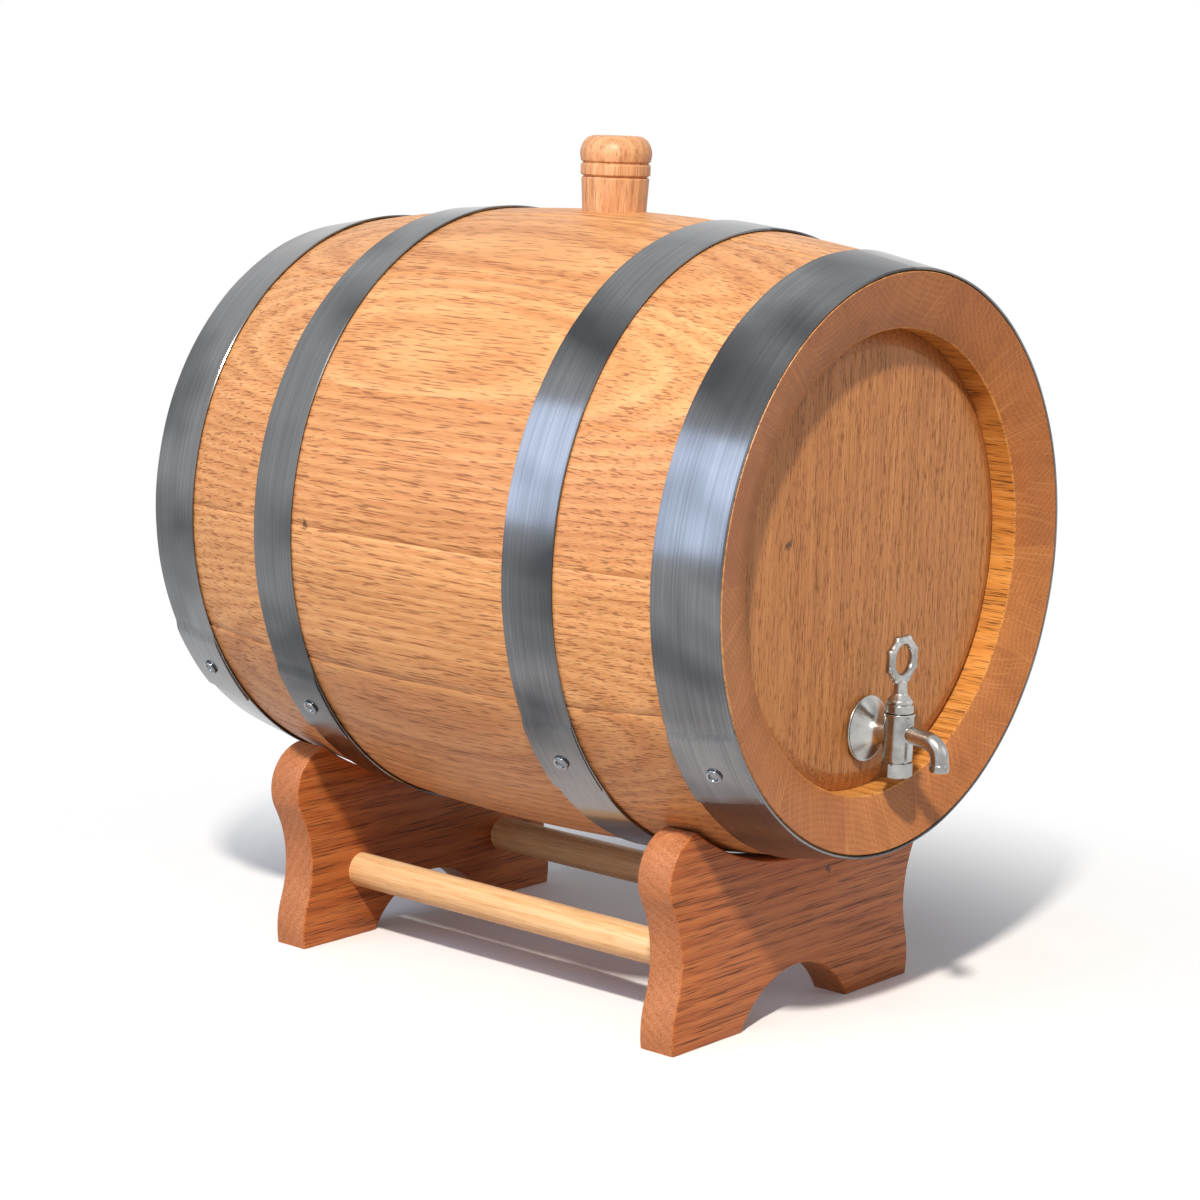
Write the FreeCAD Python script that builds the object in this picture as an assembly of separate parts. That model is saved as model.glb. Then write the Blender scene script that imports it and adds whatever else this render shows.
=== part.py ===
"""Oak cask liquor dispenser: a coopered cask on a cradle, with a bung and a plug tap.

The cask lies along Y with its tap head at -Y, +Z is up and +X is the cask's right hand
side, seen from the tap. The origin is on the ground under the middle of the whole
dispenser, tap included. Lengths are millimetres and angles are degrees. A clock angle
goes round the cask from its top towards -X.
"""
import FreeCAD
import Part
import math
import os

from FreeCAD import Vector

# Cask, over the bare wood
cask_length = 325.0
belly_radius = 140.0
end_radius = 123.8
stave_count = 14
stave_thickness = 22.0
bung_stave_clock = -1.5
bilge_runs = 8
chime_width = 24.5
chime_slope = 6.3

# Heads and the croze that holds them
head_setback = 15.0
head_thickness = 14.0
head_bevel_reveal = 8.3
head_edge_thickness = 4.0
croze_depth = 3.5
croze_clearance = 0.15

# Hoops: a steel strap bent round and lapped, with one rivet through the lap
hoop_thickness = 1.2
end_hoop_width = 30.5
quarter_hoop_width = 25.0
quarter_hoop_middle = 73.5
hoop_clearance = 0.05
lap_length = 34.0
lap_ramp = 6.0
lap_clock = 126.5

# Rivets
rivet_head_radius = 3.6
rivet_head_height = 1.3
rivet_head_chamfer = 0.6
rivet_shank_radius = 1.9
rivet_dimple_radius = 1.6
rivet_dimple_depth = 0.8
rivet_hole_clearance = 0.05

# Bung: heights are over the top of the belly
bung_radius = 14.4
bung_taper = 0.057
bung_stand_in = 2.0
bung_groove_heights = (14.8, 20.8)
bung_groove_depth = 1.1
bung_groove_half_width = 0.8
bung_bead_radius = 15.6
bung_cap_radius = 16.1
bung_cap_widest = 24.6
bung_height = 32.8
bung_top_radius = 9.8
bung_shoulder_steps = 4
bung_foot_chamfer = 1.2
bung_clearance = 0.15

# Tap: distances out from the head's face, heights over the tap's own axis
tap_drop = 72.0
seal_radius = 12.5
seal_thickness = 1.0
flange_radius = 14.4
flange_edge = 1.4
flare_length = 8.4
flare_power = 2.3
flare_steps = 5
neck_radius = 5.5
shank_radius = 6.4
shank_taper = 0.03
shank_stand_in = 5.0
shank_clearance = 0.05
bore_radius = 2.5
barrel_out = 18.0
barrel_radius = 6.5
barrel_top = 9.4
barrel_bottom = -11.2
barrel_lip_radius = 6.9
barrel_lip_height = 1.2

# Spout: leaves the barrel, slopes down and bends to point at the glass
spout_out = 39.3
spout_rise = 1.6
spout_slope = 7.0
spout_bend_radius = 7.5
spout_root_radius = 3.5
spout_radius = 3.9
spout_tip_radius = 4.25
spout_tip_length = 3.0
spout_end = -12.8
spout_bore_radius = 2.8

# Key: the tapered plug that turns in the barrel, with its ring handle
plug_top_radius = 4.4
plug_bottom_radius = 3.5
plug_clearance = 0.05
key_gap = 0.1
collar_radius = 6.0
collar_height = 3.6
collar_groove_radius = 5.2
collar_groove_height = 0.5
collar_ring_radius = 5.6
collar_ring_height = 1.3
key_cone_height = 2.8
key_neck_radius = 3.0
key_ring_height = 32.4
key_ring_radius = 8.2
key_ring_wire = 2.0
key_bead_count = 8
key_bead_circle = 9.0
key_bead_radius = 2.1
key_bead_chamfer = 0.6
key_stem_radius = 2.0
key_stem_length = 5.6
key_stem_clearance = 0.05

# Washer and nut that draw the plug down into the barrel
washer_radius = 5.2
washer_thickness = 0.6
nut_across_flats = 11.6
nut_height = 6.4
nut_chamfer = 0.7
nut_skirt_radius = 6.3

# Cradle: two sawn boards and the two dowels between them
axis_height = 206.0
board_thickness = 18.0
board_middle = 109.5
saddle_clearance = 0.3
horn_radius = 20.0
horn_x = 72.5
horn_stand_off = 15.6
waist_hollow = 10.2
waist_share = 0.507
foot_swell = 4.9
foot_z = 8.0
arch_half_width = 39.0
arch_height = 22.5
dowel_radius = 8.0
dowel_x = 50.0
dowel_z = 32.0
dowel_depth = 10.0
dowel_clearance = 0.05

# Places that follow from the sizes above
half_length = cask_length / 2
chime_radius = end_radius - chime_width
head_edge_radius = chime_radius + croze_depth
head_flat_radius = chime_radius - head_bevel_reveal
head_face = half_length - head_setback
tap_reach = head_face + spout_out + spout_tip_radius
origin_shift = (tap_reach - half_length) / 2
board_inner_face = board_middle - board_thickness / 2
belly_top = axis_height + belly_radius
tap_height = axis_height - tap_drop
barrel_y = -head_face - barrel_out


def arc_radius(half_chord, rise):
    """Radius of the arc that rises this much over a chord."""
    return (half_chord ** 2 + rise ** 2) / (2 * rise)


def wood_radius(y):
    """Radius of the cask's bare wood at a place along its length."""
    bilge_radius = arc_radius(half_length, belly_radius - end_radius)
    return belly_radius - bilge_radius + math.sqrt(bilge_radius ** 2 - y ** 2)


def polyline(points):
    """Straight edges through the points, left open."""
    return [Part.LineSegment(a, b).toShape() for a, b in zip(points, points[1:])]


def arc(start, middle, end):
    """Edge of the arc through three points."""
    return Part.Arc(start, middle, end).toShape()


def face_of(edges):
    """Flat face inside a closed run of edges."""
    return Part.Face(Part.Wire(edges))


def turned(edges, base, axis):
    """Solid that a lathe makes from a half section."""
    return face_of(edges).revolve(base, axis, 360.0)


def cask_point(y, radius):
    """Point of the cask's section, in the upright plane through its axis."""
    return Vector(0, y, axis_height + radius)


def around_cask(shape, clock):
    """The shape carried round the cask's axis from the top to a clock angle."""
    shape.rotate(Vector(0, 0, axis_height), Vector(0, 1, 0), -clock)
    return shape


def save(node, solids):
    """Write one sub-part, moved so that the origin lies under the whole dispenser."""
    shape = solids[0] if len(solids) == 1 else Part.makeCompound(solids)
    shape.translate(Vector(0, origin_shift, 0))
    shape.exportStep(f"parts/{node}.step")


# Staves and heads
def head_front_depth(radius):
    """Depth of a head's front bevel behind the cask's end, at a radius."""
    bevel = (head_thickness - head_edge_thickness) / 2
    run = (radius - head_flat_radius) / (head_edge_radius - head_flat_radius)
    return head_setback + bevel * run


def head_back_depth(radius):
    """Depth of a head's back bevel behind the cask's end, at a radius."""
    return 2 * head_setback + head_thickness - head_front_depth(radius)


def stave_end(side):
    """Inner outline of a stave's end, from the chime past the croze, for side -1 or 1."""
    croze_radius = head_edge_radius + croze_clearance
    steps = [
        (0.0, end_radius),
        (chime_slope, chime_radius),
        (head_front_depth(chime_radius) - croze_clearance, chime_radius),
        (head_front_depth(head_edge_radius) - croze_clearance, croze_radius),
        (head_back_depth(head_edge_radius) + croze_clearance, croze_radius),
        (head_back_depth(chime_radius) + croze_clearance, chime_radius),
    ]
    return [cask_point(side * (half_length - depth), radius) for depth, radius in steps]


def shaved(start, end, radius_at):
    """Straight runs of the drawknife from one end to the other, with their ends on a curve."""
    places = [start + (end - start) * run / bilge_runs for run in range(bilge_runs + 1)]
    return [cask_point(y, radius_at(y)) for y in places]


def stave(clock):
    """One stave: the bilged section swept through its share of the circle."""
    front = stave_end(-1)
    back = stave_end(1)
    reach = back[-1].y
    inner_top = belly_radius - stave_thickness

    def hollow_radius(y):
        return inner_top - (inner_top - chime_radius) * (y / reach) ** 2

    outside = shaved(front[0].y, back[0].y, wood_radius)
    inside = shaved(reach, -reach, hollow_radius)
    section = face_of(polyline(outside + back[1:] + inside[1:-1] + front[::-1]))
    width = 360.0 / stave_count
    solid = section.revolve(Vector(0, 0, axis_height), Vector(0, 1, 0), width)
    return around_cask(solid, clock + width / 2)


def bung_radius_at(height):
    """Radius of the bung's tapered shank at a height over the belly."""
    return bung_radius + bung_taper * height


def bung_hole():
    """Tapered hole reamed through the top stave."""
    low = -stave_thickness - bung_stand_in
    high = bung_stand_in
    return Part.makeCone(
        bung_radius_at(low) + bung_clearance, bung_radius_at(high) + bung_clearance,
        high - low, Vector(0, 0, belly_top + low), Vector(0, 0, 1))


def head(side):
    """One round head, flat on both faces with its edge bevelled into the croze."""
    outline = [
        (head_setback, 0),
        (head_setback, head_flat_radius),
        (head_front_depth(head_edge_radius), head_edge_radius),
        (head_back_depth(head_edge_radius), head_edge_radius),
        (head_setback + head_thickness, head_flat_radius),
        (head_setback + head_thickness, 0),
        (head_setback, 0),
    ]
    points = [cask_point(side * (half_length - depth), radius) for depth, radius in outline]
    return turned(polyline(points), Vector(0, 0, axis_height), Vector(0, 1, 0))


# Hoops and rivets
def hoop_inner_radius(y, width):
    """Radius inside a straight hoop, clear of the wood's bulge between its edges."""
    bilge_radius = arc_radius(half_length, belly_radius - end_radius)
    bulge = width ** 2 / (8 * bilge_radius)
    return wood_radius(y) + bulge + hoop_clearance


def strap_corner(y, radius, clock):
    """Point of a strap's edge at a radius and a clock angle."""
    return around_cask(Part.Vertex(cask_point(y, radius)), clock).Point


def strap_section(y, width, clock, low, high):
    """Section of a hoop's strap at a clock angle, from low to high over its inside."""
    near_y = y - width / 2
    far_y = y + width / 2
    near = hoop_inner_radius(near_y, width)
    far = hoop_inner_radius(far_y, width)
    corners = [(near_y, near + low), (far_y, far + low), (far_y, far + high),
               (near_y, near + high), (near_y, near + low)]
    return Part.Wire(polyline([strap_corner(place, radius, clock) for place, radius in corners]))


def rivet_seat(shape, y, width):
    """The shape, made upright at the origin, carried to a hoop's lap and tilted to it."""
    near = hoop_inner_radius(y - width / 2, width)
    far = hoop_inner_radius(y + width / 2, width)
    tilt = math.degrees(math.atan2(far - near, width))
    lap_surface = (near + far) / 2 + 2 * hoop_thickness
    shape.rotate(Vector(0, 0, 0), Vector(1, 0, 0), tilt)
    shape.translate(cask_point(y, lap_surface))
    return around_cask(shape, lap_clock)


def hoop(y, width):
    """One hoop: a flat strap coned to the cask, its end lapped over, with its rivet hole."""
    mean_radius = hoop_inner_radius(y, width)
    lap_angle = math.degrees(lap_length / mean_radius)
    ramp_angle = math.degrees(lap_ramp / mean_radius)
    lap_start = lap_clock - lap_angle / 2
    axis = Vector(0, 0, axis_height)
    under = hoop_thickness / 2
    double = 2 * hoop_thickness
    ring = Part.Face(strap_section(y, width, 0, 0, hoop_thickness))
    ring = ring.revolve(axis, Vector(0, 1, 0), 360.0)
    lap = Part.Face(strap_section(y, width, lap_start, under, double))
    lap = lap.revolve(axis, Vector(0, 1, 0), -lap_angle)
    ramp = Part.makeLoft([
        strap_section(y, width, lap_start - ramp_angle, under, 0.9 * hoop_thickness),
        strap_section(y, width, lap_start, under, double)], True, True)
    hole = Part.makeCylinder(
        rivet_shank_radius + rivet_hole_clearance, 2 * double, Vector(0, 0, -double - 1))
    return ring.fuse([lap, ramp]).cut(rivet_seat(hole, y, width)).removeSplitter()


def rivet(y, width):
    """Pan-headed tubular rivet through both layers of a hoop's lap."""
    grip = 2 * hoop_thickness - hoop_clearance
    pan = Part.makeCylinder(rivet_head_radius, rivet_head_height)
    pan = pan.makeChamfer(rivet_head_chamfer, [pan.Edges[0]])
    shank = Part.makeCylinder(rivet_shank_radius, grip, Vector(0, 0, -grip))
    dimple = Part.makeCylinder(
        rivet_dimple_radius, rivet_dimple_depth,
        Vector(0, 0, rivet_head_height - rivet_dimple_depth))
    return rivet_seat(pan.fuse(shank).cut(dimple), y, width)


# Bung
def bung():
    """Turned oak bung: tapered shank, two grooves with a bead between, and a round cap."""
    bottom = -stave_thickness - bung_stand_in
    low_groove, high_groove = bung_groove_heights
    shank_top = low_groove - bung_groove_half_width

    def at(radius, height):
        return Vector(radius, 0, belly_top + height)

    rim = bung_radius_at(bottom)
    profile = [
        at(0, bottom),
        at(rim - bung_foot_chamfer, bottom),
        at(bung_radius_at(bottom + bung_foot_chamfer), bottom + bung_foot_chamfer),
        at(bung_radius_at(shank_top), shank_top),
        at(bung_radius_at(shank_top) - bung_groove_depth, low_groove),
        at(bung_bead_radius, low_groove + bung_groove_half_width),
        at(bung_bead_radius, high_groove - bung_groove_half_width),
        at(bung_bead_radius - bung_groove_depth, high_groove),
        at(bung_bead_radius, high_groove + bung_groove_half_width),
        at(bung_cap_radius, bung_cap_widest),
    ]
    shoulder_width = bung_cap_radius - bung_top_radius
    shoulder_height = bung_height - bung_cap_widest
    for step in range(1, bung_shoulder_steps + 1):
        turn = math.pi / 2 * step / bung_shoulder_steps
        profile.append(at(bung_top_radius + shoulder_width * math.cos(turn),
                          bung_cap_widest + shoulder_height * math.sin(turn)))
    profile += [at(0, bung_height), at(0, bottom)]
    return turned(polyline(profile), at(0, 0), Vector(0, 0, 1))


# Tap
def tap_point(out, height):
    """Point of the tap's section: out from the head's face, up from the tap's axis."""
    return Vector(0, -head_face - out, tap_height + height)


def shank(extra_radius):
    """Tapered shank that goes through the front head, thinner at its inner end."""
    length = head_thickness + shank_stand_in + seal_thickness
    end_shank_radius = shank_radius - shank_taper * length
    return Part.makeCone(
        shank_radius + extra_radius, end_shank_radius + extra_radius, length,
        tap_point(seal_thickness, 0), Vector(0, 1, 0))


def flange_and_neck():
    """Round flange that flares like a trumpet into the neck."""
    rim_out = seal_thickness + flange_edge
    flare_rise = flange_radius - flange_edge / 2 - neck_radius
    base = tap_point(seal_thickness, 0)
    profile = [
        base,
        tap_point(seal_thickness, flange_radius - flange_edge / 2),
        tap_point(seal_thickness + flange_edge / 2, flange_radius)]
    for step in range(flare_steps + 1):
        share = step / flare_steps
        profile.append(tap_point(
            rim_out + flare_length * share,
            neck_radius + flare_rise * (1 - share) ** flare_power))
    profile += [tap_point(barrel_out, neck_radius), tap_point(barrel_out, 0), base]
    return turned(polyline(profile), base, Vector(0, 1, 0))


def spout_run(root_radius, radius, overrun):
    """Round bar along the spout's path: sloping run, bend, and straight end."""
    slope = math.radians(spout_slope)
    bend_out = spout_out - spout_bend_radius
    slope_end_out = bend_out + spout_bend_radius * math.sin(slope)
    run = slope_end_out - barrel_out
    slope_end_height = spout_rise - run * math.tan(slope)
    bend_height = slope_end_height - spout_bend_radius * math.cos(slope)
    start = tap_point(barrel_out, spout_rise)
    slope_end = tap_point(slope_end_out, slope_end_height)
    sloping = Part.makeCone(
        root_radius, radius, (slope_end - start).Length, start, slope_end - start)
    section = Part.Face(Part.Wire(Part.Circle(slope_end, slope_end - start, radius).toShape()))
    bend = section.revolve(
        tap_point(bend_out, bend_height), Vector(1, 0, 0), 90.0 - spout_slope)
    straight = Part.makeCylinder(
        radius, bend_height - spout_end + overrun,
        tap_point(spout_out, bend_height), Vector(0, 0, -1))
    return sloping.fuse([bend, straight])


def plug_cone(extra_radius, overrun):
    """The tapered plug, or with extra radius the bore that it turns in."""
    height = barrel_top - barrel_bottom
    taper = (plug_top_radius - plug_bottom_radius) / height
    return Part.makeCone(
        plug_bottom_radius + extra_radius - taper * overrun,
        plug_top_radius + extra_radius + taper * overrun,
        height + 2 * overrun,
        tap_point(barrel_out, barrel_bottom - overrun), Vector(0, 0, 1))


def tap_body():
    """Cast body: flange, neck, shank, upright barrel and spout, with the bores through."""
    barrel = Part.makeCylinder(
        barrel_radius, barrel_top - barrel_bottom,
        tap_point(barrel_out, barrel_bottom), Vector(0, 0, 1))
    lip = Part.makeCylinder(
        barrel_lip_radius, barrel_lip_height,
        tap_point(barrel_out, barrel_top - barrel_lip_height), Vector(0, 0, 1))
    tip = Part.makeCylinder(
        spout_tip_radius, spout_tip_length,
        tap_point(spout_out, spout_end), Vector(0, 0, 1))
    solid = barrel.fuse([
        lip, flange_and_neck(), shank(0), spout_run(spout_root_radius, spout_radius, 0), tip])
    inlet_length = head_thickness + shank_stand_in + barrel_out
    inlet = Part.makeCylinder(
        bore_radius, inlet_length + 1, tap_point(barrel_out, 0), Vector(0, 1, 0))
    outlet = spout_run(bore_radius, spout_bore_radius, 1)
    return solid.cut([inlet, outlet, plug_cone(plug_clearance, 1)]).removeSplitter()


def tap_seal():
    """Soft washer squeezed between the flange and the head."""
    face = tap_point(seal_thickness, 0)
    ring = Part.makeCylinder(seal_radius, seal_thickness, face, Vector(0, 1, 0))
    return ring.cut(shank(shank_clearance))


def key_ring(middle):
    """Ring handle: an eight-sided wire turned into a ring, with round lobes on its rim."""
    wire_points = []
    for number in range(9):
        turn = math.pi / 4 * (number + 0.5)
        wire_points.append(middle + Vector(
            key_ring_radius + key_ring_wire * math.cos(turn), key_ring_wire * math.sin(turn), 0))
    ring = turned(polyline(wire_points), middle, Vector(0, 1, 0))
    lobe = Part.makeCylinder(
        key_bead_radius, 2 * key_bead_radius, Vector(0, -key_bead_radius, 0), Vector(0, 1, 0))
    rims = [edge for edge in lobe.Edges if edge.Closed]
    lobe = lobe.makeChamfer(key_bead_chamfer, rims)
    lobes = []
    for number in range(key_bead_count):
        turn = 2 * math.pi * (number + 0.5) / key_bead_count
        offset = Vector(math.sin(turn), 0, math.cos(turn)) * key_bead_circle
        lobes.append(lobe.translated(middle + offset))
    return ring.fuse(lobes)


def tap_key():
    """Plug, collar, ring handle with its beads, and the threaded stem for the nut."""
    collar_base = barrel_top + key_gap
    groove = collar_base + collar_height
    ring = groove + collar_groove_height
    cone = ring + collar_ring_height
    neck = cone + key_cone_height
    neck_top = key_ring_height - key_ring_radius
    stem_end = barrel_bottom - key_stem_length
    profile = polyline([
        tap_point(barrel_out, stem_end),
        Vector(key_stem_radius, barrel_y, tap_height + stem_end),
        Vector(key_stem_radius, barrel_y, tap_height + barrel_bottom),
        Vector(plug_bottom_radius, barrel_y, tap_height + barrel_bottom),
        Vector(plug_top_radius, barrel_y, tap_height + barrel_top),
        Vector(plug_top_radius, barrel_y, tap_height + collar_base),
        Vector(collar_radius, barrel_y, tap_height + collar_base),
        Vector(collar_radius, barrel_y, tap_height + groove),
        Vector(collar_groove_radius, barrel_y, tap_height + groove),
        Vector(collar_groove_radius, barrel_y, tap_height + ring),
        Vector(collar_ring_radius, barrel_y, tap_height + ring),
        Vector(collar_ring_radius, barrel_y, tap_height + cone),
        Vector(key_neck_radius, barrel_y, tap_height + neck),
        Vector(key_neck_radius, barrel_y, tap_height + neck_top),
        tap_point(barrel_out, neck_top),
        tap_point(barrel_out, stem_end)])
    shaft = turned(profile, tap_point(barrel_out, 0), Vector(0, 0, 1))
    ring_middle = tap_point(barrel_out, key_ring_height)
    handle = key_ring(ring_middle)
    waterway = Part.makeCylinder(
        bore_radius, 4 * plug_top_radius,
        tap_point(barrel_out, 0) - Vector(2 * plug_top_radius, 0, 0), Vector(1, 0, 0))
    finger_hole = Part.makeCylinder(
        key_ring_radius - key_ring_wire, 4 * key_ring_wire,
        ring_middle - Vector(0, 2 * key_ring_wire, 0), Vector(0, 1, 0))
    return shaft.cut([waterway, finger_hole]).fuse(handle).removeSplitter()


def key_washer():
    """Washer under the barrel, turning with the key."""
    top = barrel_bottom - key_gap
    base = tap_point(barrel_out, top - washer_thickness)
    disc = Part.makeCylinder(washer_radius, washer_thickness, base)
    return disc.cut(Part.makeCylinder(key_stem_radius + key_stem_clearance, washer_thickness, base))


def key_nut():
    """Hexagon cap nut that holds the plug down, with a turned skirt above its flats."""
    top = barrel_bottom - key_gap - washer_thickness
    middle = tap_point(barrel_out, top - nut_height)
    corner = nut_across_flats / math.sqrt(3)
    corners = []
    for number in range(7):
        turn = math.radians(60 * number)
        corners.append(middle + Vector(corner * math.cos(turn), corner * math.sin(turn), 0))
    hexagon = face_of(polyline(corners)).extrude(Vector(0, 0, nut_height))
    envelope = Part.makeCylinder(corner, nut_height - nut_chamfer, middle + Vector(0, 0, nut_chamfer))
    foot = Part.makeCone(corner - nut_chamfer * 1.6, corner, nut_chamfer, middle)
    skirt = Part.makeCylinder(nut_skirt_radius, nut_chamfer, middle + Vector(0, 0, nut_height - nut_chamfer))
    bore = Part.makeCylinder(
        key_stem_radius + key_stem_clearance, key_stem_length,
        tap_point(barrel_out, top - key_stem_length))
    return hexagon.common(envelope.fuse(foot)).fuse(skirt).cut(bore)


# Cradle
def waist_arc_radius(drop):
    """Radius of the hollow waist that runs smoothly into the horn, this far over it."""
    reach = horn_radius - waist_hollow
    return (reach ** 2 + drop ** 2 - horn_radius ** 2) / (2 * waist_hollow)


def foot_arc_radius(waist_radius, drop):
    """Radius of the foot's swell that runs smoothly out of the waist, this far over it."""
    return (drop ** 2 + foot_swell ** 2 - 2 * foot_swell * waist_radius) / (2 * foot_swell)


def between(centre, other, radius):
    """Point at a radius from one centre, on the line towards another centre."""
    step = other - centre
    return centre + step * (radius / step.Length)


def board_outline(y):
    """Outline of a cradle board across Y: saddle, horns, waists, feet and arch."""
    saddle_radius = wood_radius(board_inner_face) + saddle_clearance
    axis = Vector(0, y, axis_height)
    horn_z = axis_height - math.sqrt((saddle_radius + horn_stand_off) ** 2 - horn_x ** 2)
    waist_z = waist_share * horn_z
    waist_radius = waist_arc_radius(horn_z - waist_z)
    foot_radius = foot_arc_radius(waist_radius, waist_z - foot_z)
    waist_x = horn_x + horn_radius - waist_hollow
    horn = Vector(horn_x, y, horn_z)
    waist = Vector(waist_x + waist_radius, y, waist_z)
    foot = Vector(waist_x + foot_swell - foot_radius, y, foot_z)
    foot_end = Vector(foot.x + math.sqrt(foot_radius ** 2 - foot_z ** 2), y, 0)
    foot_join = between(waist, foot, waist_radius)
    horn_join = between(waist, horn, waist_radius)

    # The horn's round meets the saddle where both circles cross
    gap = (horn - axis).Length
    along = (gap ** 2 + saddle_radius ** 2 - horn_radius ** 2) / (2 * gap)
    across = math.sqrt(saddle_radius ** 2 - along ** 2)
    toward = (horn - axis) * (1 / gap)
    horn_top = axis + toward * along + Vector(-toward.z, 0, toward.x) * across
    horn_side = horn + Vector(horn_radius, 0, 0)

    half = [
        Part.LineSegment(Vector(arch_half_width, y, 0), foot_end).toShape(),
        arc(foot_end, foot + Vector(foot_radius, 0, 0), foot_join),
        arc(foot_join, waist - Vector(waist_radius, 0, 0), horn_join),
        arc(horn_join, horn_side, horn_top),
    ]
    mirrored = [edge.mirror(Vector(0, 0, 0), Vector(1, 0, 0)) for edge in half]
    saddle = arc(horn_top, axis - Vector(0, 0, saddle_radius),
                 Vector(-horn_top.x, y, horn_top.z))
    arch = arc(Vector(-arch_half_width, y, 0), Vector(0, y, arch_height),
               Vector(arch_half_width, y, 0))
    return face_of(Part.__sortEdges__(half + [saddle] + mirrored + [arch]))


def board(side):
    """One cradle board with the blind holes for the dowels in its inner face."""
    outer_y = side * (board_middle + board_thickness / 2)
    solid = board_outline(outer_y).extrude(Vector(0, -side * board_thickness, 0))
    holes = []
    for x in (-dowel_x, dowel_x):
        holes.append(Part.makeCylinder(
            dowel_radius + dowel_clearance, dowel_depth,
            Vector(x, side * board_inner_face, dowel_z), Vector(0, side, 0)))
    return solid.cut(holes)


def dowel(x):
    """Round stretcher between the boards, its ends in their blind holes."""
    length = 2 * (board_inner_face + dowel_depth - dowel_clearance)
    return Part.makeCylinder(
        dowel_radius, length, Vector(x, -length / 2, dowel_z), Vector(0, 1, 0))


os.makedirs("parts", exist_ok=True)

for number in range(stave_count):
    stave_clock = bung_stave_clock + number * 360.0 / stave_count
    if number == 0:
        save("bung_stave", [stave(stave_clock).cut(bung_hole())])
    else:
        save(f"stave_{number + 1:02d}", [stave(stave_clock)])

save("front_head", [head(-1).cut(shank(shank_clearance))])
save("rear_head", [head(1)])

end_hoop_middle = half_length - end_hoop_width / 2
hoop_places = {
    "front_end_hoop": (-end_hoop_middle, end_hoop_width),
    "front_quarter_hoop": (-quarter_hoop_middle, quarter_hoop_width),
    "rear_quarter_hoop": (quarter_hoop_middle, quarter_hoop_width),
    "rear_end_hoop": (end_hoop_middle, end_hoop_width),
}
for name, (place, strap_width) in hoop_places.items():
    save(name, [hoop(place, strap_width)])
save("hoop_rivets", [rivet(place, strap_width) for place, strap_width in hoop_places.values()])

save("bung", [bung()])

save("tap_body", [tap_body()])
save("tap_seal", [tap_seal()])
save("tap_key", [tap_key()])
save("key_washer", [key_washer()])
save("key_nut", [key_nut()])

save("front_cradle_board", [board(-1)])
save("rear_cradle_board", [board(1)])
save("left_dowel", [dowel(-dowel_x)])
save("right_dowel", [dowel(dowel_x)])
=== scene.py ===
"""Looks of an oak cask dispenser: coopered cask on a cradle, with a bung and a plug tap.

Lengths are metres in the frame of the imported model: +Z up, the cask along Y with its tap
head at -Y. A clock angle goes round the cask from its top towards -X. The attribute "grain"
holds each point in its board's own space, and "tone" how dark that board is.
"""

import logging
import math
from dataclasses import dataclass, field
from enum import Enum
from typing import Dict, List, Optional, Sequence, Tuple, Union

import bmesh
import bpy
import numpy as np
from mathutils import Matrix, Vector

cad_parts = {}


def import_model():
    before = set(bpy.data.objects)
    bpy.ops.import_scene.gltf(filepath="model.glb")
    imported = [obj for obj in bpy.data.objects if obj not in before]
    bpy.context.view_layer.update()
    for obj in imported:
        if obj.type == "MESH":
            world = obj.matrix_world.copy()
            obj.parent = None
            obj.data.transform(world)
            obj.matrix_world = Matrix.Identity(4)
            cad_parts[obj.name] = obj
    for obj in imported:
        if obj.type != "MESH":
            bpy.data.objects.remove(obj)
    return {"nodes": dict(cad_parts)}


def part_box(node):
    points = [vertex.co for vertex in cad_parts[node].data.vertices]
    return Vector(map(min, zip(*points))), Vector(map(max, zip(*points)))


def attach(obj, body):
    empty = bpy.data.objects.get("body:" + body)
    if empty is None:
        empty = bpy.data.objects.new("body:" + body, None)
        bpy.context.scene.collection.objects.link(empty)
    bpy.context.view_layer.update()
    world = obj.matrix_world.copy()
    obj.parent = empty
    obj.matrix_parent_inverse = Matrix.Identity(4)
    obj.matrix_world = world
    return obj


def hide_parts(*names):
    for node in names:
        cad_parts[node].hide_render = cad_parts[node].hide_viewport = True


LOG = logging.getLogger("cask")
MM = 0.001
FULL_TURN = 2 * math.pi
SMOOTH_ANGLE = math.radians(38)

Material = bpy.types.Material
Node = bpy.types.Node
Socket = bpy.types.NodeSocket
Piece = bpy.types.Object
Value = Union[Node, Socket, float, str, Sequence[float]]
Pair = Tuple[float, float]
Triple = Tuple[float, float, float]


class Axis(Enum):
    """Row axis that a piece is turned about: which of r cos t, r sin t, height is x, y, z."""

    ALONG_Y = (1, 2, 0)
    ALONG_Z = (0, 1, 2)


class Body(Enum):
    """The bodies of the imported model."""

    STAND = "stand"
    CASK = "cask"
    BUNG = "bung"
    TAP_KEY = "tap_key"


class Slot(Enum):
    """Names of the record's slots for the pieces' finishes."""

    CASK_OAK = "cask_oak"
    BUNG_OAK = "bung_oak"
    CRADLE_OAK = "cradle_oak"
    DOWEL_BEECH = "dowel_beech"
    HOOP_STEEL = "hoop_steel"
    RIVET_STEEL = "rivet_steel"
    NICKEL_PLATE = "nickel_plate"


# Shader tools
def linear(code: str) -> Tuple[float, float, float, float]:
    """Turn an sRGB hex colour into linear light.

    Args:
        code: six hex digits after a hash.

    Returns:
        Linear red, green, blue and an alpha of one.
    """
    parts = np.array([int(code[i:i + 2], 16) / 255 for i in (1, 3, 5)])
    low = parts / 12.92
    high = ((parts + 0.055) / 1.055) ** 2.4
    return (*np.where(parts <= 0.04045, low, high).tolist(), 1.0)


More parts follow.
